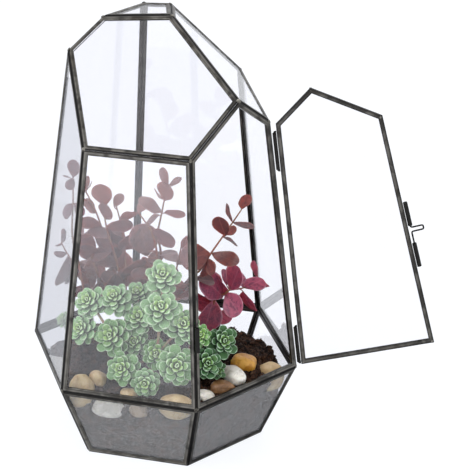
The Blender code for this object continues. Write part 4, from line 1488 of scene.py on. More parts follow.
    def crumb(self, seed: float, detail: int) -> Mesh:
        """A crumb of peat, one unit across its middle, with few faces.

        Args:
            seed: Chooses its form.
            detail: How finely it is divided.

        Returns:
            The crumb's mesh.
        """
        def broken(point: Vector) -> Vector:
            """Where a point of the ball goes.

            Args:
                point: The point.

            Returns:
                Its new place.
            """
            point = point * (1 + 1.2 * noise.noise(point * 3.4 + Vector((seed, seed, 0))))
            return Vector((point.x, point.y, point.z * 0.72))

        return blob("crumb", detail, broken, 0.5)

    def hair(self, seed: float) -> Mesh:
        """A root hair, one unit long, as a thin three-sided strand that bends.

        Args:
            seed: Chooses its bends.

        Returns:
            The hair's mesh.
        """
        bm = bmesh.new()
        rings = []
        for i in range(5):
            t = i / 4
            place = Vector((t - 0.5, 0.16 * math.sin(3 * t + seed), 0.12 * math.sin(2.2 * t + 2 * seed)))
            thick = 0.018 * (1.1 - t)
            rings.append([bm.verts.new(place + Vector((0, math.cos(a), math.sin(a))) * thick)
                          for a in (0.0, 2.1, 4.2)])
        loft(bm, rings)
        bm.faces.new(rings[0])
        bm.faces.new(rings[-1])
        return to_mesh(bm, "hair")

    def build(self) -> None:
        """Make the heap, its coarse and fine crumbs, and its root hairs."""
        heap = self.surface()
        kinds = (
            ("crumbs", [self.crumb(s, 2) for s in (1.5, 4.2, 8.8)], 51000.0, (2.0, 7.5), self.peat),
            ("dust", [self.crumb(s, 1) for s in (2.5, 6.1, 9.9)], 150000.0, (0.8, 2.4), self.peat),
            ("fibres", [self.hair(s) for s in (0.0, 1.3, 2.9)], 16000.0, (4.0, 11.0), self.fibre),
        )  # pieces, how many on a square metre, and their sizes in mm
        litter = {}
        for seed, (name, meshes, density, (least, most), finish) in enumerate(kinds, start=21):
            litter[name] = self.growth.run(
                self.growth.litter, heap.copy(), Pieces=self.growth.pieces(name, meshes), Density=density,
                Least=least * MM, Most=most * MM, Seed=seed, Material=finish)
        heap.shade_smooth()
        add_piece("peat", heap, self.peat, nodes=("soil",))
        for name, mesh in litter.items():
            add_piece(f"peat_{name}", mesh)


class Pebble(NamedTuple):
    """A pebble: its node's ending, finish, ground place and half sizes in mm, and heading."""

    name: str
    stone: Stone
    place: Flat
    half: Point
    heading: float
    square: float = 2.35  # power of its rounding, where two is an egg


class Pebbles:
    """The tumbled pebbles along the front and at the doorway, each where its solid lies."""

    stones = (
        Pebble("amber", Stone.AMBER, (82, -26), (11, 8.5, 8), 5, 3.3),
        Pebble("white", Stone.WHITE, (82, -47), (13.5, 8, 8), -38),
        Pebble("tan_corner", Stone.TAN, (101, -4), (12, 11, 12), 50),
        Pebble("orange", Stone.RUST, (74, -63), (11, 7, 6.5), 12),
        Pebble("chip", Stone.WHITE, (60.5, -73), (9.5, 6, 4.5), -23),
        Pebble("tan_left", Stone.TAN, (-52.4, -88), (11.5, 9, 15.5), 20),
        Pebble("pale", Stone.TAN, (-40, -73), (8, 6.5, 7.5), -10),
        Pebble("white_front", Stone.WHITE, (-24, -93), (15, 6.5, 8.5), 4),
        Pebble("small", Stone.TAN, (-7, -84), (8, 6.5, 5.5), -20),
        Pebble("grey", Stone.GREY, (5, -92), (9, 6, 6.5), 0),
        Pebble("tan_front", Stone.TAN, (37, -87), (15, 9, 11), 8),
    )
    lumps = 0.12

    def mesh(self, pebble: Pebble) -> Mesh:
        """The pebble's water-worn form with its faint facets and pits, set where its node is.

        Args:
            pebble: The pebble.

        Returns:
            Its mesh.
        """
        x, y = (v * MM for v in pebble.place)
        seed = Vector((x, y, 0)) * 997
        turn = Matrix.Rotation(math.radians(pebble.heading), 4, "Z")
        bm = bmesh.new()
        bmesh.ops.create_icosphere(bm, subdivisions=6, radius=1)
        for vert in bm.verts:
            unit = vert.co.normalized()
            lumpy = 1 + self.lumps * noise.noise(unit * 1.3 + seed)
            worn = 0.02 * noise.noise(unit * 2.9 + seed) + 0.005 * noise.noise(unit * 9 + seed)
            round_off = sum(abs(c) ** pebble.square for c in unit) ** (-1 / pebble.square)
            place = Vector([c * h * MM for c, h in zip(unit, pebble.half)])
            vert.co = turn @ (place * (lumpy + worn) * round_off)
        low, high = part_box(f"pebble_{pebble.name}")
        middle = [(min(c) + max(c)) / 2 for c in zip(*(v.co for v in bm.verts))]
        bmesh.ops.translate(bm, verts=bm.verts, vec=(low + high) / 2 - Vector(middle))
        mesh = to_mesh(bm, pebble.name)
        mesh.shade_smooth()
        return mesh

    def build(self) -> None:
        """Make every pebble with its own stone."""
        finishes = {stone: stone.value.build() for stone in Stone}
        for pebble in self.stones:
            add_piece(f"tumbled_{pebble.name}", self.mesh(pebble), finishes[pebble.stone],
                      nodes=(f"pebble_{pebble.name}",))


@dataclass(frozen=True)
class Blade:
    """A leaf or petal one unit long along +X, its upper face towards +Z."""

    foot: float  # half width at the foot
    wide: float  # half width at the widest place
    widest: float  # share of the length where that is
    cup: float  # how far the sides stand above the middle, in half widths
    curl: float  # how far the tip rises above the foot
    upper: float  # thickness over the middle surface
    keel: float  # thickness under it
    stalk: float = 0.0  # share of the length that the stalk takes
    wave: float = 0.0  # how far the rim ripples
    stations: int = 8
    sides: int = 10
    swell: float = 1.25  # how late the blade grows wide
    blunt: float = 2.0  # power of the round end, where two is an ellipse

    def half_width(self, reach: float) -> float:
        """Half the blade's width at a share of its length: it swells from the foot to a round end.

        Args:
            reach: The share of its length.

        Returns:
            The half width.
        """
        if reach >= self.widest:
            past = (reach - self.widest) / (1 - self.widest)
            return self.wide * max(0.0, 1 - past ** self.blunt) ** (1 / self.blunt)
        grown = max(0.0, reach - self.stalk) / (self.widest - self.stalk)
        return self.foot + (self.wide - self.foot) * math.sin(math.pi / 2 * grown) ** self.swell

    def point(self, reach: float, angle: float) -> Vector:
        """A point of the skin, at a share of the length and an angle round the section.

        Args:
            reach: The share of the length.
            angle: In radians, from the edge up.

        Returns:
            The point.
        """
        across, face = math.cos(angle), math.sin(angle)
        width = self.half_width(reach)
        fullness = min(1.0, 0.25 + width / self.wide)
        thick = (self.upper if face > 0 else self.keel) * face * fullness
        ripple = self.wave * width * across * across * math.sin(9 * reach + 2 * across)
        lift = self.curl * reach * reach + self.cup * width * across * across
        return Vector((reach, width * across, lift + thick + ripple))

    def mesh(self, name: str) -> Mesh:
        """Loft the blade and write where each point lies for its finish.

        Args:
            name: The mesh's name.

        Returns:
            A closed mesh with the attributes reach, across and upper.
        """
        bm = bmesh.new()
        layers = [bm.verts.layers.float.new(n) for n in ("reach", "across", "upper")]

        def vert(reach: float, angle: float, point: Vector) -> bmesh.types.BMVert:
            """Add a point with its attributes.

            Args:
                reach: Its share of the length.
                angle: Its angle round the section.
                point: Its place.

            Returns:
                The new vertex.
            """
            new = bm.verts.new(point)
            for layer, value in zip(layers, (reach, math.cos(angle), math.sin(angle))):
                new[layer] = value
            return new

        rings = []
        for i in range(self.stations):
            reach = math.sin(math.pi / 2 * i / (self.stations - 0.35)) ** 0.9
            angles = [math.tau * k / self.sides for k in range(self.sides)]
            rings.append([vert(reach, a, self.point(reach, a)) for a in angles])
        tip = vert(1.0, 0.0, Vector((1, 0, self.curl)))
        bm.faces.new(list(reversed(rings[0])))
        loft(bm, rings)
        for k in range(self.sides):
            bm.faces.new((rings[-1][k], rings[-1][(k + 1) % self.sides], tip))
        return to_mesh(bm, name)


class Rosette(NamedTuple):
    """A succulent rosette: its heart and how wide it spreads, in mm."""

    heart: Point
    spread: float


class Whorl(NamedTuple):
    """A ring of petals: how many, length as a share of half the spread, tilt, turn, rise and age."""

    count: int
    share: float
    tilt: float
    turn: float
    rise: float
    kind: int
    heart: float


@dataclass
class Succulent:
    """A clump of rosettes on a branching trunk."""

    name: str
    trunk: Flat
    rosettes: tuple[Rosette, ...]
    growth: Growth
    leaf: Material
    bark: Material
    seed: int
    focus: Vector = Vector((0, -18, 62)) * MM  # the rosettes face away from this point
    lean: Vector = Vector((0.1, -0.75, 0.42))  # how they also turn to the light at the front
    trunk_radius: float = 2.4 * MM
    branch_radius: float = 1.2 * MM
    trunk_height: float = 12 * MM
    root: float = 12 * MM
    directness: float = 0.6  # how much a branch would rather be short all the way from the trunk
    whorls: tuple[Whorl, ...] = (
        Whorl(6, 0.96, -10, 12, -0.44, 0, 0.0), Whorl(6, 1.0, 6, 42, -0.3, 0, 0.05),
        Whorl(6, 0.84, 17, 10, -0.19, 0, 0.2), Whorl(5, 0.68, 29, 30, -0.09, 1, 0.45),
        Whorl(5, 0.5, 43, 66, 0.0, 1, 0.75), Whorl(4, 0.34, 68, 20, 0.04, 1, 1.0),
    )
    petals: tuple[Blade, ...] = (
        Blade(0.1, 0.265, 0.72, 0.14, 0.14, 0.08, 0.13, 0.0, 0.0, 10, 12, 1.3, 2.1),
        Blade(0.12, 0.29, 0.7, 0.18, 0.12, 0.09, 0.15, 0.0, 0.0, 10, 12, 1.3, 2.1),
    )

    def stand(self, rosette: Rosette) -> Matrix:
        """The rosette's own axes, with +Z the way that it faces.

        Args:
            rosette: The rosette.

        Returns:
            The axes, at its heart.
        """
        heart = Vector(rosette.heart) * MM
        facing = ((heart - self.focus).normalized() + self.lean).normalized()
        return Matrix.Translation(heart) @ facing.to_track_quat("Z", "Y").to_matrix().to_4x4()

    def petal_spots(self) -> list[Spot]:
        """Where every petal of the clump stands.

        Returns:
            A spot for each petal.
        """
        draw = random.Random(self.seed)
        spots = []
        for rosette in self.rosettes:
            radius = rosette.spread * MM / 2
            tint = draw.random()
            spun = draw.uniform(0, 45)
            for whorl in self.whorls:
                for k in range(whorl.count):
                    heading = spun + whorl.turn + 360 * k / whorl.count + draw.uniform(-8, 8)
                    tilt = whorl.tilt + draw.uniform(-8, 8)
                    size = radius * whorl.share * draw.uniform(0.9, 1.06)
                    place = (self.stand(rosette) @ Matrix.Translation((0, 0, radius * whorl.rise))
                             @ Matrix.Rotation(math.radians(heading), 4, "Z")
                             @ Matrix.Rotation(-math.radians(tilt), 4, "Y")
                             @ Matrix.Diagonal((size, size * draw.uniform(0.92, 1.12), size, 1)))
                    spots.append(Spot(place, whorl.kind, tint, whorl.heart))
        return spots

    def branches(self, ground: float) -> Mesh:
        """The trunk and a branch to each rosette, each from behind the nearest one placed before it.

        Args:
            ground: Height of the peat at the trunk.

        Returns:
            The round wood.
        """
        x, y = (v * MM for v in self.trunk)
        fork = Vector((x, y, ground + self.trunk_height))
        paths = [[Vector((x, y, ground - self.root)), Vector((x, y, ground)), fork]]
        girths = [[self.trunk_radius] * 3]
        joints = [(fork, 0.0)]
        for rosette in sorted(self.rosettes, key=lambda r: (Vector(r.heart) * MM - fork).length):
            stand = self.stand(rosette)
            back = stand @ Vector((0, 0, -rosette.spread * MM * 0.1))
            start, before = min(joints, key=lambda j: (back - j[0]).length + self.directness * j[1])
            length = (back - start).length
            way = (stand.to_3x3() @ Vector((0, 0, 1))) * 0.35 * length
            paths.append([start.lerp(back, t).lerp(back - way * (1 - t), t * t * 0.8)
                          for t in (k / 8 for k in range(9))])
            girths.append([self.branch_radius * (1.15 - 0.25 * k / 8) for k in range(9)])
            joints.append((back, before + length))
        return self.growth.stalks(paths, girths, self.bark)

    def build(self, ground: float) -> None:
        """Make the clump's petals and its branches.

        Args:
            ground: Height of the peat at the trunk.
        """
        petals = self.growth.pieces(f"{self.name}_petal", [b.mesh("petal") for b in self.petals])
        leaves = self.growth.plant(self.petal_spots(), petals, self.leaf)
        add_piece(f"{self.name}_rosettes", leaves, nodes=(self.name,))
        add_piece(f"{self.name}_branches", self.branches(ground))


class Leaf(NamedTuple):
    """A round leaf in mm: where its foot and tip are, how wide it is, and the way its face looks."""

    foot: Point
    tip: Point
    width: float
    face: Point

    @classmethod
    def read(cls, row: Sequence[float]) -> "Leaf":
        """Make a leaf of a table's row: three numbers, three, one and three."""
        return cls(row[:3], row[3:6], row[6], row[7:])


@dataclass
class Spray:
    """Leafy stems from one root, with thin round leaves on short stalks."""

    name: str
    stems: tuple[tuple[Point, ...], ...]  # points of each stem in mm
    leaves: tuple[Leaf, ...]
    seed: int
    growth: Growth
    leaf: Material
    bark: Material
    slot: str
    stem_radius: float = 1.15 * MM
    stalk_radius: float = 0.45 * MM
    root: float = 12 * MM
    pane_room: float = 1.0 * MM
    least_leaf: float = 6 * MM
    rim: tuple[Flat, ...] = ((1, 0), (0.8, 0.43), (0.8, -0.43), (0.5, 0.5), (0.5, -0.5))
    blades: tuple[Blade, ...] = (
        Blade(0.05, 0.46, 0.56, 0.12, -0.03, 0.01, 0.012, 0.06, 0.03, 11, 14, 0.75, 2.2),
        Blade(0.05, 0.46, 0.58, 0.2, 0.1, 0.01, 0.012, 0.06, 0.05, 11, 14, 0.75, 2.2),
        Blade(0.05, 0.46, 0.54, 0.05, -0.12, 0.01, 0.012, 0.06, 0.06, 11, 14, 0.75, 2.2),
    )

    @staticmethod
    def smooth_path(points: list[Vector], per_span: int) -> list[Vector]:
        """Points on a Catmull-Rom curve through the given ones.

        Args:
            points: The given ones.
            per_span: How many follow from each to the next.

        Returns:
            All the points.
        """
        padded = [points[0] * 2 - points[1], *points, points[-1] * 2 - points[-2]]
        path = []
        for a, b, c, d in zip(padded, padded[1:], padded[2:], padded[3:]):
            for k in range(per_span):
                t = k / per_span
                path.append(0.5 * (2 * b + (c - a) * t + (2 * a - 5 * b + 4 * c - d) * t ** 2
                                   + (3 * b - a - 3 * c + d) * t ** 3))
        return path + [points[-1]]

    def spot(self, leaf: Leaf, draw: random.Random) -> Spot:
        """Stand a leaf in its place, shortened where it would reach the glass.

        Args:
            leaf: The leaf.
            draw: Chooses its blade and its place between the two reds.

        Returns:
            The leaf's spot.
        """
        foot, tip = Vector(leaf.foot) * MM, Vector(leaf.tip) * MM
        along = (tip - foot).normalized()
        aside = Vector(leaf.face).cross(along).normalized()
        place = frame_on(foot, along, aside, along.cross(aside))
        length = (tip - foot).length
        width = leaf.width * MM / length
        rims = [Vector((x, y * width, 0)) for x, y in self.rim]
        while length > self.least_leaf:
            if min(CASE.room(place @ (rim * length), CHANNEL_DEPTH + self.pane_room) for rim in rims) > 0:
                break
            length -= 0.5 * MM
        kind = draw.randrange(len(self.blades))
        across = width / (2 * self.blades[kind].wide)
        return Spot(place @ Matrix.Diagonal((length, length * across, length, 1)), kind, draw.random())

    def stalks(self, paths: list[list[Vector]]) -> tuple[list[list[Vector]], list[list[float]]]:
        """A short stalk from the nearest stem to each leaf's foot.

        Args:
            paths: The stems.

        Returns:
            The points of each stalk and the radius at each.
        """
        strands, girths = [], []
        for leaf in self.leaves:
            foot, tip = Vector(leaf.foot) * MM, Vector(leaf.tip) * MM
            along = (tip - foot).normalized()
            start = min((p for path in paths for p in path),
                        key=lambda p: (p - foot).length + 2 * max(0, p.z - foot.z))
            if (start - foot).length < 0.4 * MM:
                continue
            bend = start.lerp(foot, 0.55) - along * (start - foot).length * 0.15
            strands.append([start, bend, foot, foot + along * 1.5 * MM])
            girths.append([self.stalk_radius * k for k in (1.5, 1.1, 1.0, 0.7)])
        return strands, girths

    def build(self, ground: float) -> None:
        """Make the spray's leaves, stems and stalks.

        Args:
            ground: Height of the peat at the root.
        """
        draw = random.Random(90 + self.seed)
        first = Vector(self.stems[0][0]) * MM
        foot = Vector((first.x, first.y, ground - self.root))
        paths = [[foot, foot.lerp(first, 0.5), first]]
        girths = [[self.stem_radius * 1.1] * 3]
        for stem in self.stems:
            path = self.smooth_path([Vector(p) * MM for p in stem], 7)
            paths.append(path)
            girths.append([self.stem_radius * (1 - 0.5 * k / (len(path) - 1)) for k in range(len(path))])
        stalks, stalk_girths = self.stalks(paths)
        blades = self.growth.pieces(f"{self.name}_blade", [b.mesh("blade") for b in self.blades])
        spots = [self.spot(leaf, draw) for leaf in self.leaves]
        leaves = self.growth.plant(spots, blades, self.leaf)
        wood = self.growth.stalks(paths + stalks, girths + stalk_girths, self.bark)
        add_piece(f"{self.name}_leaves", leaves, nodes=(self.name,))
        add_piece(f"{self.name}_stems", wood)


SUCCULENTS = {
    "succulent_front": ((4, -50), (
        Rosette((-55, -50, 135), 32), Rosette((-31, -50, 142), 32), Rosette((-17, -27, 138), 27),
        Rosette((12, -45, 167), 35), Rosette((-59, -60, 112), 30), Rosette((-86, -28, 102), 17),
        Rosette((-29, -66, 112), 37), Rosette((-8, -52, 127), 32), Rosette((17, -66, 146), 38),
        Rosette((35, -58, 129), 35), Rosette((-10, -56, 104), 27), Rosette((-14, -82, 90), 32),
        Rosette((9, -87, 81), 28), Rosette((12, -63, 99), 30), Rosette((35, -78, 98), 38),
        Rosette((51, -60, 121), 22),
    )),
    "succulent_right": ((63, -42), (
        Rosette((69, -49, 113), 31), Rosette((59, -66, 98), 32), Rosette((66, -56, 87), 18),
    )),
}

# Each spray's stems, then its leaves: ten numbers each, as Leaf.read takes them
SPRAYS = {
    "spray_left": ((
        ((-68, -12, 100), (-74, -18, 150), (-79, -19, 183), (-78, -19, 214), (-78, -18, 239)),
        ((-75, -18, 150), (-80, -19, 158), (-84, -20, 165), (-89, -20, 174)),
    ), (
        (-78, -18, 239, -76, -19, 256, 13, -0.2, -1, 0),
        (-81, -18, 238, -92, -22, 240, 10, 0.1, 0.1, 1),
        (-78, -18, 238, -81, -24, 229, 9, 0.3, -0.8, 0.4),
        (-77, -19, 214, -85, -19, 199, 14, -0.7, -0.7, 0.3),
        (-77, -19, 214, -67, -28, 209, 12, -0.6, -0.8, 0.1),
        (-89, -20, 175, -82, -23, 188, 12, -0.7, -0.6, 0.2),
        (-89, -20, 174, -100, -17, 167, 11, 0.3, -0.5, -0.8),
        (-84, -20, 165, -100, -22, 160, 13, 0.3, -0.9, -0.4),
        (-83, -20, 162, -91, -20, 132, 25, 0.9, -0.3, -0.2),
        (-80, -19, 156, -75, -10, 141, 15, -0.1, -0.8, -0.5),
        (-74, -18, 148, -87, -11, 133, 17, -0.8, -0.4, 0.4),
        (-72, -16, 133, -80, -22, 124, 11, 0.7, -0.7, -0.1),
        (-72, -16, 133, -66, -6, 118, 15, 0.9, 0, 0.3),
    )),
    "spray_mid_left": ((
        ((-38, 4, 110), (-45, 2, 150), (-54, -2, 188), (-56, -2, 209)),
        ((-38, 4, 110), (-54, 12, 150), (-67, 12, 191), (-77, 10, 214)),
        ((-38, 4, 110), (-39, 8, 150), (-41, 4, 183), (-45, 0, 208)),
        ((-38, 4, 110), (-54, 6, 120), (-65, 8, 133), (-71, 8, 152)),
    ), (
        (-77, 10, 213, -75, 6, 230, 13, 1, -0.1, -0.1),
        (-75, 10, 217, -72, 16, 222, 7, 0.9, -0.1, -0.4),
        (-55, -2, 208, -58, -5, 231, 19, 0.1, -1, -0.1),
        (-47, 0, 207, -42, 6, 218, 11, -0.3, -0.8, 0.5),
        (-68, 12, 193, -79, 6, 205, 14, 0.8, -0.2, 0.6),
        (-55, -2, 195, -50, -12, 213, 17, -0.4, -0.8, -0.3),
        (-63, 12, 180, -80, 4, 191, 17, 0.2, -0.9, -0.4),
        (-66, 12, 174, -85, 16, 165, 17, -0.4, -0.1, 0.9),
        (-53, -2, 185, -30, -4, 196, 21, 0.2, -0.8, -0.6),
        (-52, 12, 148, -48, 12, 185, 29, -0.5, -0.9, 0.1),
        (-60, 12, 147, -81, 5, 161, 21, 0.1, -0.9, -0.4),
        (-67, 8, 140, -87, 16, 142, 17, 0.1, -0.1, 1),
        (-72, 8, 124, -81, -2, 146, 21, 0.9, -0.1, 0.3),
        (-66, 7, 125, -52, 7, 147, 21, 0.8, -0.4, -0.5),
        (-45, 2, 149, -67, 11, 156, 20, -0.4, -0.9, -0.1),
        (-42, 3, 137, -20, 3, 154, 22, 0.5, -0.6, -0.6),
        (-44, 7, 161, -27, 0, 179, 20, 0.3, -0.7, -0.6),
        (-39, 3, 129, -55, -8, 145, 20, 0.1, -0.9, -0.5),
        (-44, 0, 169, -66, 9, 169, 19, -0.4, -0.9, -0.4),
        (-71, 11, 200, -86, 16, 202, 13, -0.3, -0.9, -0.4),
        (-43, 2, 193, -34, 7, 200, 10, 0.6, -0.8, -0.2),
        (-51, -1, 176, -73, 7, 179, 18, 0.1, -0.2, 1),
        (-71, 8, 149, -86, 20, 157, 16, -0.5, -0.8, 0.3),
        (-67, 8, 136, -74, 4, 120, 14, -0.4, -0.8, 0.4),
        (-60, 7, 127, -65, -4, 117, 13, 0.7, -0.6, 0.4),
        (-54, 6, 120, -39, -5, 143, 23, 0.6, -0.5, -0.6),
        (-65, 8, 133, -56, 19, 119, 16, 0.2, -0.8, -0.6),
        (-70, 8, 145, -64, 21, 146, 12, 0.4, -0.3, 0.9),
        (-80, 12, 182, -85, 21, 164, 17, -0.8, -0.6, -0.1),
        (-41, 5, 175, -54, 13, 185, 15, 0.6, -0.1, 0.8),
        (-48, 0, 164, -68, 8, 150, 20, -0.6, -0.4, 0.7),
        (-68, 9, 157, -82, 9, 170, 18, -0.2, -0.9, 0.3),
        (-42, 12, 159, -46, 12, 136, 22, 0.5, -0.8, 0.2),
        (-72, 8, 151, -66, 8, 129, 20, 0.1, -0.8, 0.5),
        (-43, 10, 139, -27, 9, 129, 17, 0.2, -0.7, 0.6),
    )),
    "spray_mid": ((
        ((-6, 2, 110), (-5, 6, 160), (-8, 5, 182), (-6, 4, 194), (-3, 2, 207), (0, -1, 220), (4, -2, 234)),
        ((-6, 4, 138), (-8, 2, 168), (-12, 0, 187), (-18, 0, 196), (-25, 0, 205)),
        ((-6, 2, 110), (6, 10, 140), (12, 12, 170)),
    ), (
        (-17, 3, 149, -28, -7, 142, 13, -0.1, -0.5, 0.9),
        (-15, 4, 132, 3, -8, 148, 21, 0.2, -0.6, -0.7),
        (-17, 3, 155, -6, 13, 162, 13, 0, -0.5, 0.9),
        (-17, 2, 162, -20, -6, 194, 27, 0.4, -0.9, -0.2),
        (-30, 1, 169, -17, 1, 191, 21, 0.6, -0.7, -0.4),
        (-12, 0, 187, 14, -8, 187, 21, -0.3, -0.9, -0.3),
        (-11, 2, 162, 9, 10, 166, 17, -0.2, 0.1, 1),
        (-25, 0, 204, -38, -5, 200, 12, 0.5, -0.7, -0.5),
        (-25, 0, 204, -21, 8, 211, 9, 0.1, -0.6, 0.8),
        (-3, 2, 207, -20, -8, 222, 20, 0.7, 0, 0.7),
        (-1, 2, 206, 19, -3, 211, 17, 0, -0.8, -0.7),
        (-6, 3, 203, -19, 4, 191, 14, -0.7, -0.3, 0.7),
        (4, -2, 235, -2, -8, 252, 16, 1, -0.1, 0.3),
        (0, -1, 220, 6, -7, 241, 18, -0.3, -0.9, -0.2),
        (4, -2, 234, 15, 2, 242, 11, -0.4, -0.3, 0.8),
        (-1, -1, 221, -13, 7, 224, 11, -0.6, -0.7, -0.5),
        (-8, 5, 179, -28, 12, 166, 20, -0.6, -0.3, 0.7),
        (-5, 3, 149, -26, 13, 149, 19, -0.4, -0.9, -0.2),
        (-5, 4, 141, 9, 11, 149, 14, 0.5, -0.8, -0.2),
        (4, 9, 136, -13, 3, 148, 17, 0.6, -0.2, 0.8),
        (8, 11, 153, 21, 20, 160, 14, -0.1, -0.5, 0.9),
        (9, 11, 155, -7, 21, 160, 16, 0.2, -0.2, 1),
        (12, 12, 169, 21, 15, 181, 12, 0.5, -0.8, -0.2),
        (-6, 3, 126, -22, -9, 138, 18, 0.7, -0.1, 0.7),
        (1, 7, 128, 14, 22, 117, 18, 0.7, 0, 0.7),
        (-8, 6, 124, -28, 8, 136, 22, 0.3, -0.9, 0.2),
        (-2, 6, 120, 17, 6, 137, 20, 0.2, -0.8, 0.4),
    )),
    "spray_right": ((
        ((31, -23, 125), (35, -24, 160), (40, -24, 167), (50, -24, 185), (59, -22, 200), (68, -19, 215),
         (75, -15, 227)),
    ), (
        (75, -15, 227, 79, -16, 243, 13, 0.6, -0.8, -0.2),
        (68, -19, 215, 58, -12, 228, 14, -0.7, -0.6, -0.2),
        (68, -19, 215, 89, -24, 214, 17, 0.1, 0.1, 1),
        (62, -21, 202, 57, -27, 222, 17, -0.1, -0.9, -0.3),
        (62, -21, 203, 70, -15, 209, 9, 0.6, -0.8, 0),
        (60, -22, 201, 72, -14, 193, 13, 0.4, 0.2, 0.9),
        (51, -24, 185, 76, -29, 183, 21, 0.1, -0.2, 1),
        (49, -24, 184, 25, -34, 180, 25, 0.3, -0.9, 0.4),
        (48, -24, 179, 42, -16, 160, 17, 0.7, -0.5, -0.4),
        (46, -24, 178, 56, -35, 171, 13, -0.6, -0.7, 0.3),
        (36, -24, 157, 17, -16, 142, 20, -0.7, -0.3, 0.7),
        (35, -24, 154, 16, -24, 138, 20, 0.4, -0.8, -0.5),
        (36, -24, 158, 49, -13, 151, 14, 0.6, -0.1, 0.8),
    )),
    "spray_crimson": ((
        ((42, 2, 112), (50, -4, 133), (58, -6, 138), (63, -7, 143), (75, -5, 146), (87, -1, 154)),
    ), (
        (56, -5, 134, 42, -19, 159, 27, 0.9, -0.4, 0.3),
        (63, -7, 143, 73, -7, 167, 23, -0.5, -0.8, 0.2),
        (76, -5, 146, 94, -10, 159, 20, 0.1, -0.9, -0.5),
        (59, -6, 139, 77, -19, 126, 22, -0.3, -0.9, 0.4),
        (86, -1, 156, 84, 2, 171, 13, -0.7, -0.7, 0),
        (87, -1, 154, 95, 6, 146, 11, 0, -0.7, -0.7),
        (60, -7, 147, 55, -1, 160, 12, 0.9, -0.2, 0.4),
        (75, -5, 142, 80, 3, 119, 21, -0.5, -0.8, -0.4),
        (47, -3, 129, 37, -3, 98, 28, 0.7, -0.7, -0.2),
        (44, 2, 110, 61, 12, 107, 17, 0.5, -0.9, -0.2),
        (62, -7, 142, 43, 6, 142, 20, -0.5, -0.8, -0.2),
        (75, -5, 146, 69, 1, 159, 13, 0.8, -0.3, 0.5),
        (47, -1, 123, 24, 12, 122, 23, -0.5, -0.8, -0.3),
    )),
}


@dataclass
class Studio:
    """The photographer's table: the camera, soft lamps, a pale floor, and grey sheets that paint reflections.
    """

    eye: Vector = Vector((0.65243, -2.16228, 1.21165))
    right: Vector = Vector((0.9633, 0.2682, 0.0138))
    ahead: Vector = Vector((-0.2387, 0.8787, -0.4135))
    focal_share: float = 2775.6 / 470  # focal length as a share of the picture's width
    sensor: float = 36.0
    floor_half: float = 7.0
    floor_drop: float = 0.2 * MM
    panel: tuple[Flat, ...] = ((-0.6, -1.6), (0.25, -1.6), (0.25, -0.42), (-0.6, -0.42))
    # A grey sheet left of the case that only reflections see: a painted reflection in the left panes
    cloth: tuple[Flat, ...] = ((-0.29, 0.0), (-0.14, 0.14), (-0.72, 0.76), (-0.87, 0.62))
    # A grey sheet by the foot of the case that only reflections see: a painted shadow that the base panes
    # mirror
    felt: tuple[Flat, ...] = ((0.04, -0.1), (0.12, -0.13), (0.24, 0.06), (0.09, 0.06))

    def camera(self) -> None:
        """Set up the camera at the photo's angle, with the photo's lens."""
        data = bpy.data.cameras.new("camera")
        data.sensor_width = self.sensor
        data.lens = self.focal_share * self.sensor
        data.clip_start, data.clip_end = 0.05, 60
        ahead = self.ahead.normalized()
        up = self.right.cross(ahead).normalized()
        camera = bpy.data.objects.new("camera", data)
        camera.matrix_world = frame_on(self.eye, ahead.cross(up), up, -ahead)
        bpy.context.scene.collection.objects.link(camera)
        bpy.context.scene.camera = camera

    def lamp(self, name: str, place: Point, size: float, power: float) -> None:
        """Add a soft square lamp that points at the middle of the case.

        Args:
            name: Its name.
            place: Where it hangs.
            size: Its side, in metres.
            power: In watts.
        """
        data = bpy.data.lights.new(name, "AREA")
        data.size, data.energy = size, power
        lamp = bpy.data.objects.new(name, data)
        aim = Vector((0, 0, 0.15)) - Vector(place)
        lamp.matrix_world = Matrix.Translation(place) @ aim.to_track_quat("-Z", "Y").to_matrix().to_4x4()
        bpy.context.scene.collection.objects.link(lamp)

    def sky(self) -> None:
        """Surround the table with even pale light."""
        world = bpy.data.worlds.new("studio")
        world.use_nodes = True
        world.node_tree.nodes.clear()
        glow = add_node(world.node_tree, "ShaderNodeBackground", {"Color": srgb("#fbfcff"), "Strength": 1.0})
        add_node(world.node_tree, "ShaderNodeOutputWorld", {"Surface": glow})
        bpy.context.scene.world = world

    def sheet(self, name: str, corners: tuple[Flat, ...], height: float,
              finish: Finish) -> Object:
        """Lay a flat sheet on the table.

        Args:
            name: The sheet's name.
            corners: Its corners seen from above.
            height: Its height over the floor of the case.
            finish: Its finish.

        Returns:
            The sheet's object.
        """
        mesh = bpy.data.meshes.new(name)
        mesh.from_pydata([(x, y, height) for x, y in corners], [], [range(len(corners))])
        mesh.materials.append(finish.build())
        sheet = bpy.data.objects.new(name, mesh)
        bpy.context.scene.collection.objects.link(sheet)
        return sheet

    def build(self) -> None:
        """Set up everything, and the plain colours of a product photo."""
        scene = bpy.context.scene
        scene.view_settings.view_transform = "Standard"
        scene.cycles.max_bounces = 24
        scene.cycles.transmission_bounces = 24
        scene.cycles.transparent_max_bounces = 32
        self.camera()
        self.sky()
        reach = self.floor_half
        table = ((-reach, -reach), (reach, -reach), (reach, reach), (-reach, reach))
        self.sheet("light_table", table, -self.floor_drop, LightTable("white_acrylic_light_table"))
        panel = self.sheet("panel", self.panel, self.floor_drop, LightPanel("soft_light_panel"))
        panel.visible_camera = False
        # Grey sheets that only reflections see: painted reflections of darker surroundings and of shadow by
        # the foot
        for name, corners, glow in (("cloth", self.cloth, 0.45), ("felt", self.felt, 0.3)):
            grey = LightPanel(f"grey_{name}", "#eef0f4", glow, glow)
            sheet = self.sheet(name, corners, -self.floor_drop / 2, grey)
            sheet.visible_camera = sheet.visible_transmission = False
            sheet.visible_diffuse = sheet.visible_shadow = False
        self.lamp("key", (-1.3, -1.5, 1.9), 1.2, 26)
        self.lamp("fill", (1.9, -1.2, 1.3), 1.2, 8)
        self.lamp("back", (0.3, 1.7, 2.1), 1.6, 18)


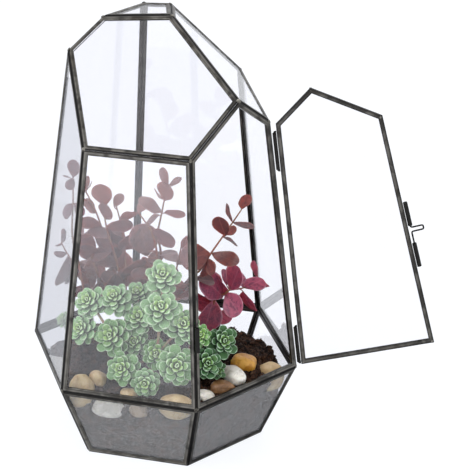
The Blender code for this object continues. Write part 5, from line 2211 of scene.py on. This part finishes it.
def main() -> None:
    """Dress the case, fill it and set up the studio."""
    logging.basicConfig(level=logging.INFO, format="%(name)s: %(message)s")
    growth = Growth()
    came = BlackenedCame("blackened_zinc_came").build()
    CaseDress(came, FloatGlass("float_glass").build(),
              FloatGlass("float_glass_dusty", tint="#f0f1f3", dust=0.01, specks=0.2).build()).build()
    Cames(came).build()
    SolderWork(growth, DarkSolder("darkened_tin_solder").build()).build()
    heap = PeatHeap(growth, MoistPeat("moist_milled_peat").build(), PeatFibre("peat_root_hair").build())
    heap.build()
    Pebbles().build()
    waxy = {
        "succulent_front": SucculentLeaf("succulent_leaf_waxy").build(),
        # A darker copy of the waxy leaf for the clump at the doorway: its darker greens are painted shade
        "succulent_right": SucculentLeaf("succulent_leaf_deep", "#325c2b", "#4e7a52", "#aecaae", "#759a4c",
                                         "#0b1f0d").build(),
    }
    woody = PlantStem("succulent_stem", bark="#8f6e5c", green="#87915f").build()
    for seed, (name, (trunk, rosettes)) in enumerate(SUCCULENTS.items()):
        clump = Succulent(name, trunk, rosettes, growth, waxy[name], woody, seed)
        clump.build(heap.height(trunk[0] * MM, trunk[1] * MM))
    red = {name: RedLeaf("burgundy_leaf_matt") for name in SPRAYS}
    red["spray_left"] = RedLeaf("plum_leaf_matt", "#3a1f2b", "#55293a", "#2c1c2a", "#7d4c5d", "#4a3040")
    red["spray_right"] = RedLeaf("burgundy_leaf_dark", "#3f2224", "#61352f", "#35212a", "#7c4f48", "#553a3c")
    red["spray_crimson"] = RedLeaf("crimson_leaf_matt", "#7c3049", "#a3546e", "#45283f", "#bd8496", "#7c4a5c",
                                   vein=0.25)
    leaf = {finish: finish.build() for finish in dict.fromkeys(red.values())}
    rosy = PlantStem("spray_stem_rosy").build()
    for seed, (name, (stems, rows)) in enumerate(SPRAYS.items()):
        slot = "crimson_leaf" if name == "spray_crimson" else "burgundy_leaf"
        x, y, _ = stems[0][0]
        leaves = tuple(Leaf.read(row) for row in rows)
        spray = Spray(name, stems, leaves, seed, growth, leaf[red[name]], rosy, slot)
        spray.build(heap.height(x * MM, y * MM))
    Studio().build()


if __name__ == "__main__":
    main()
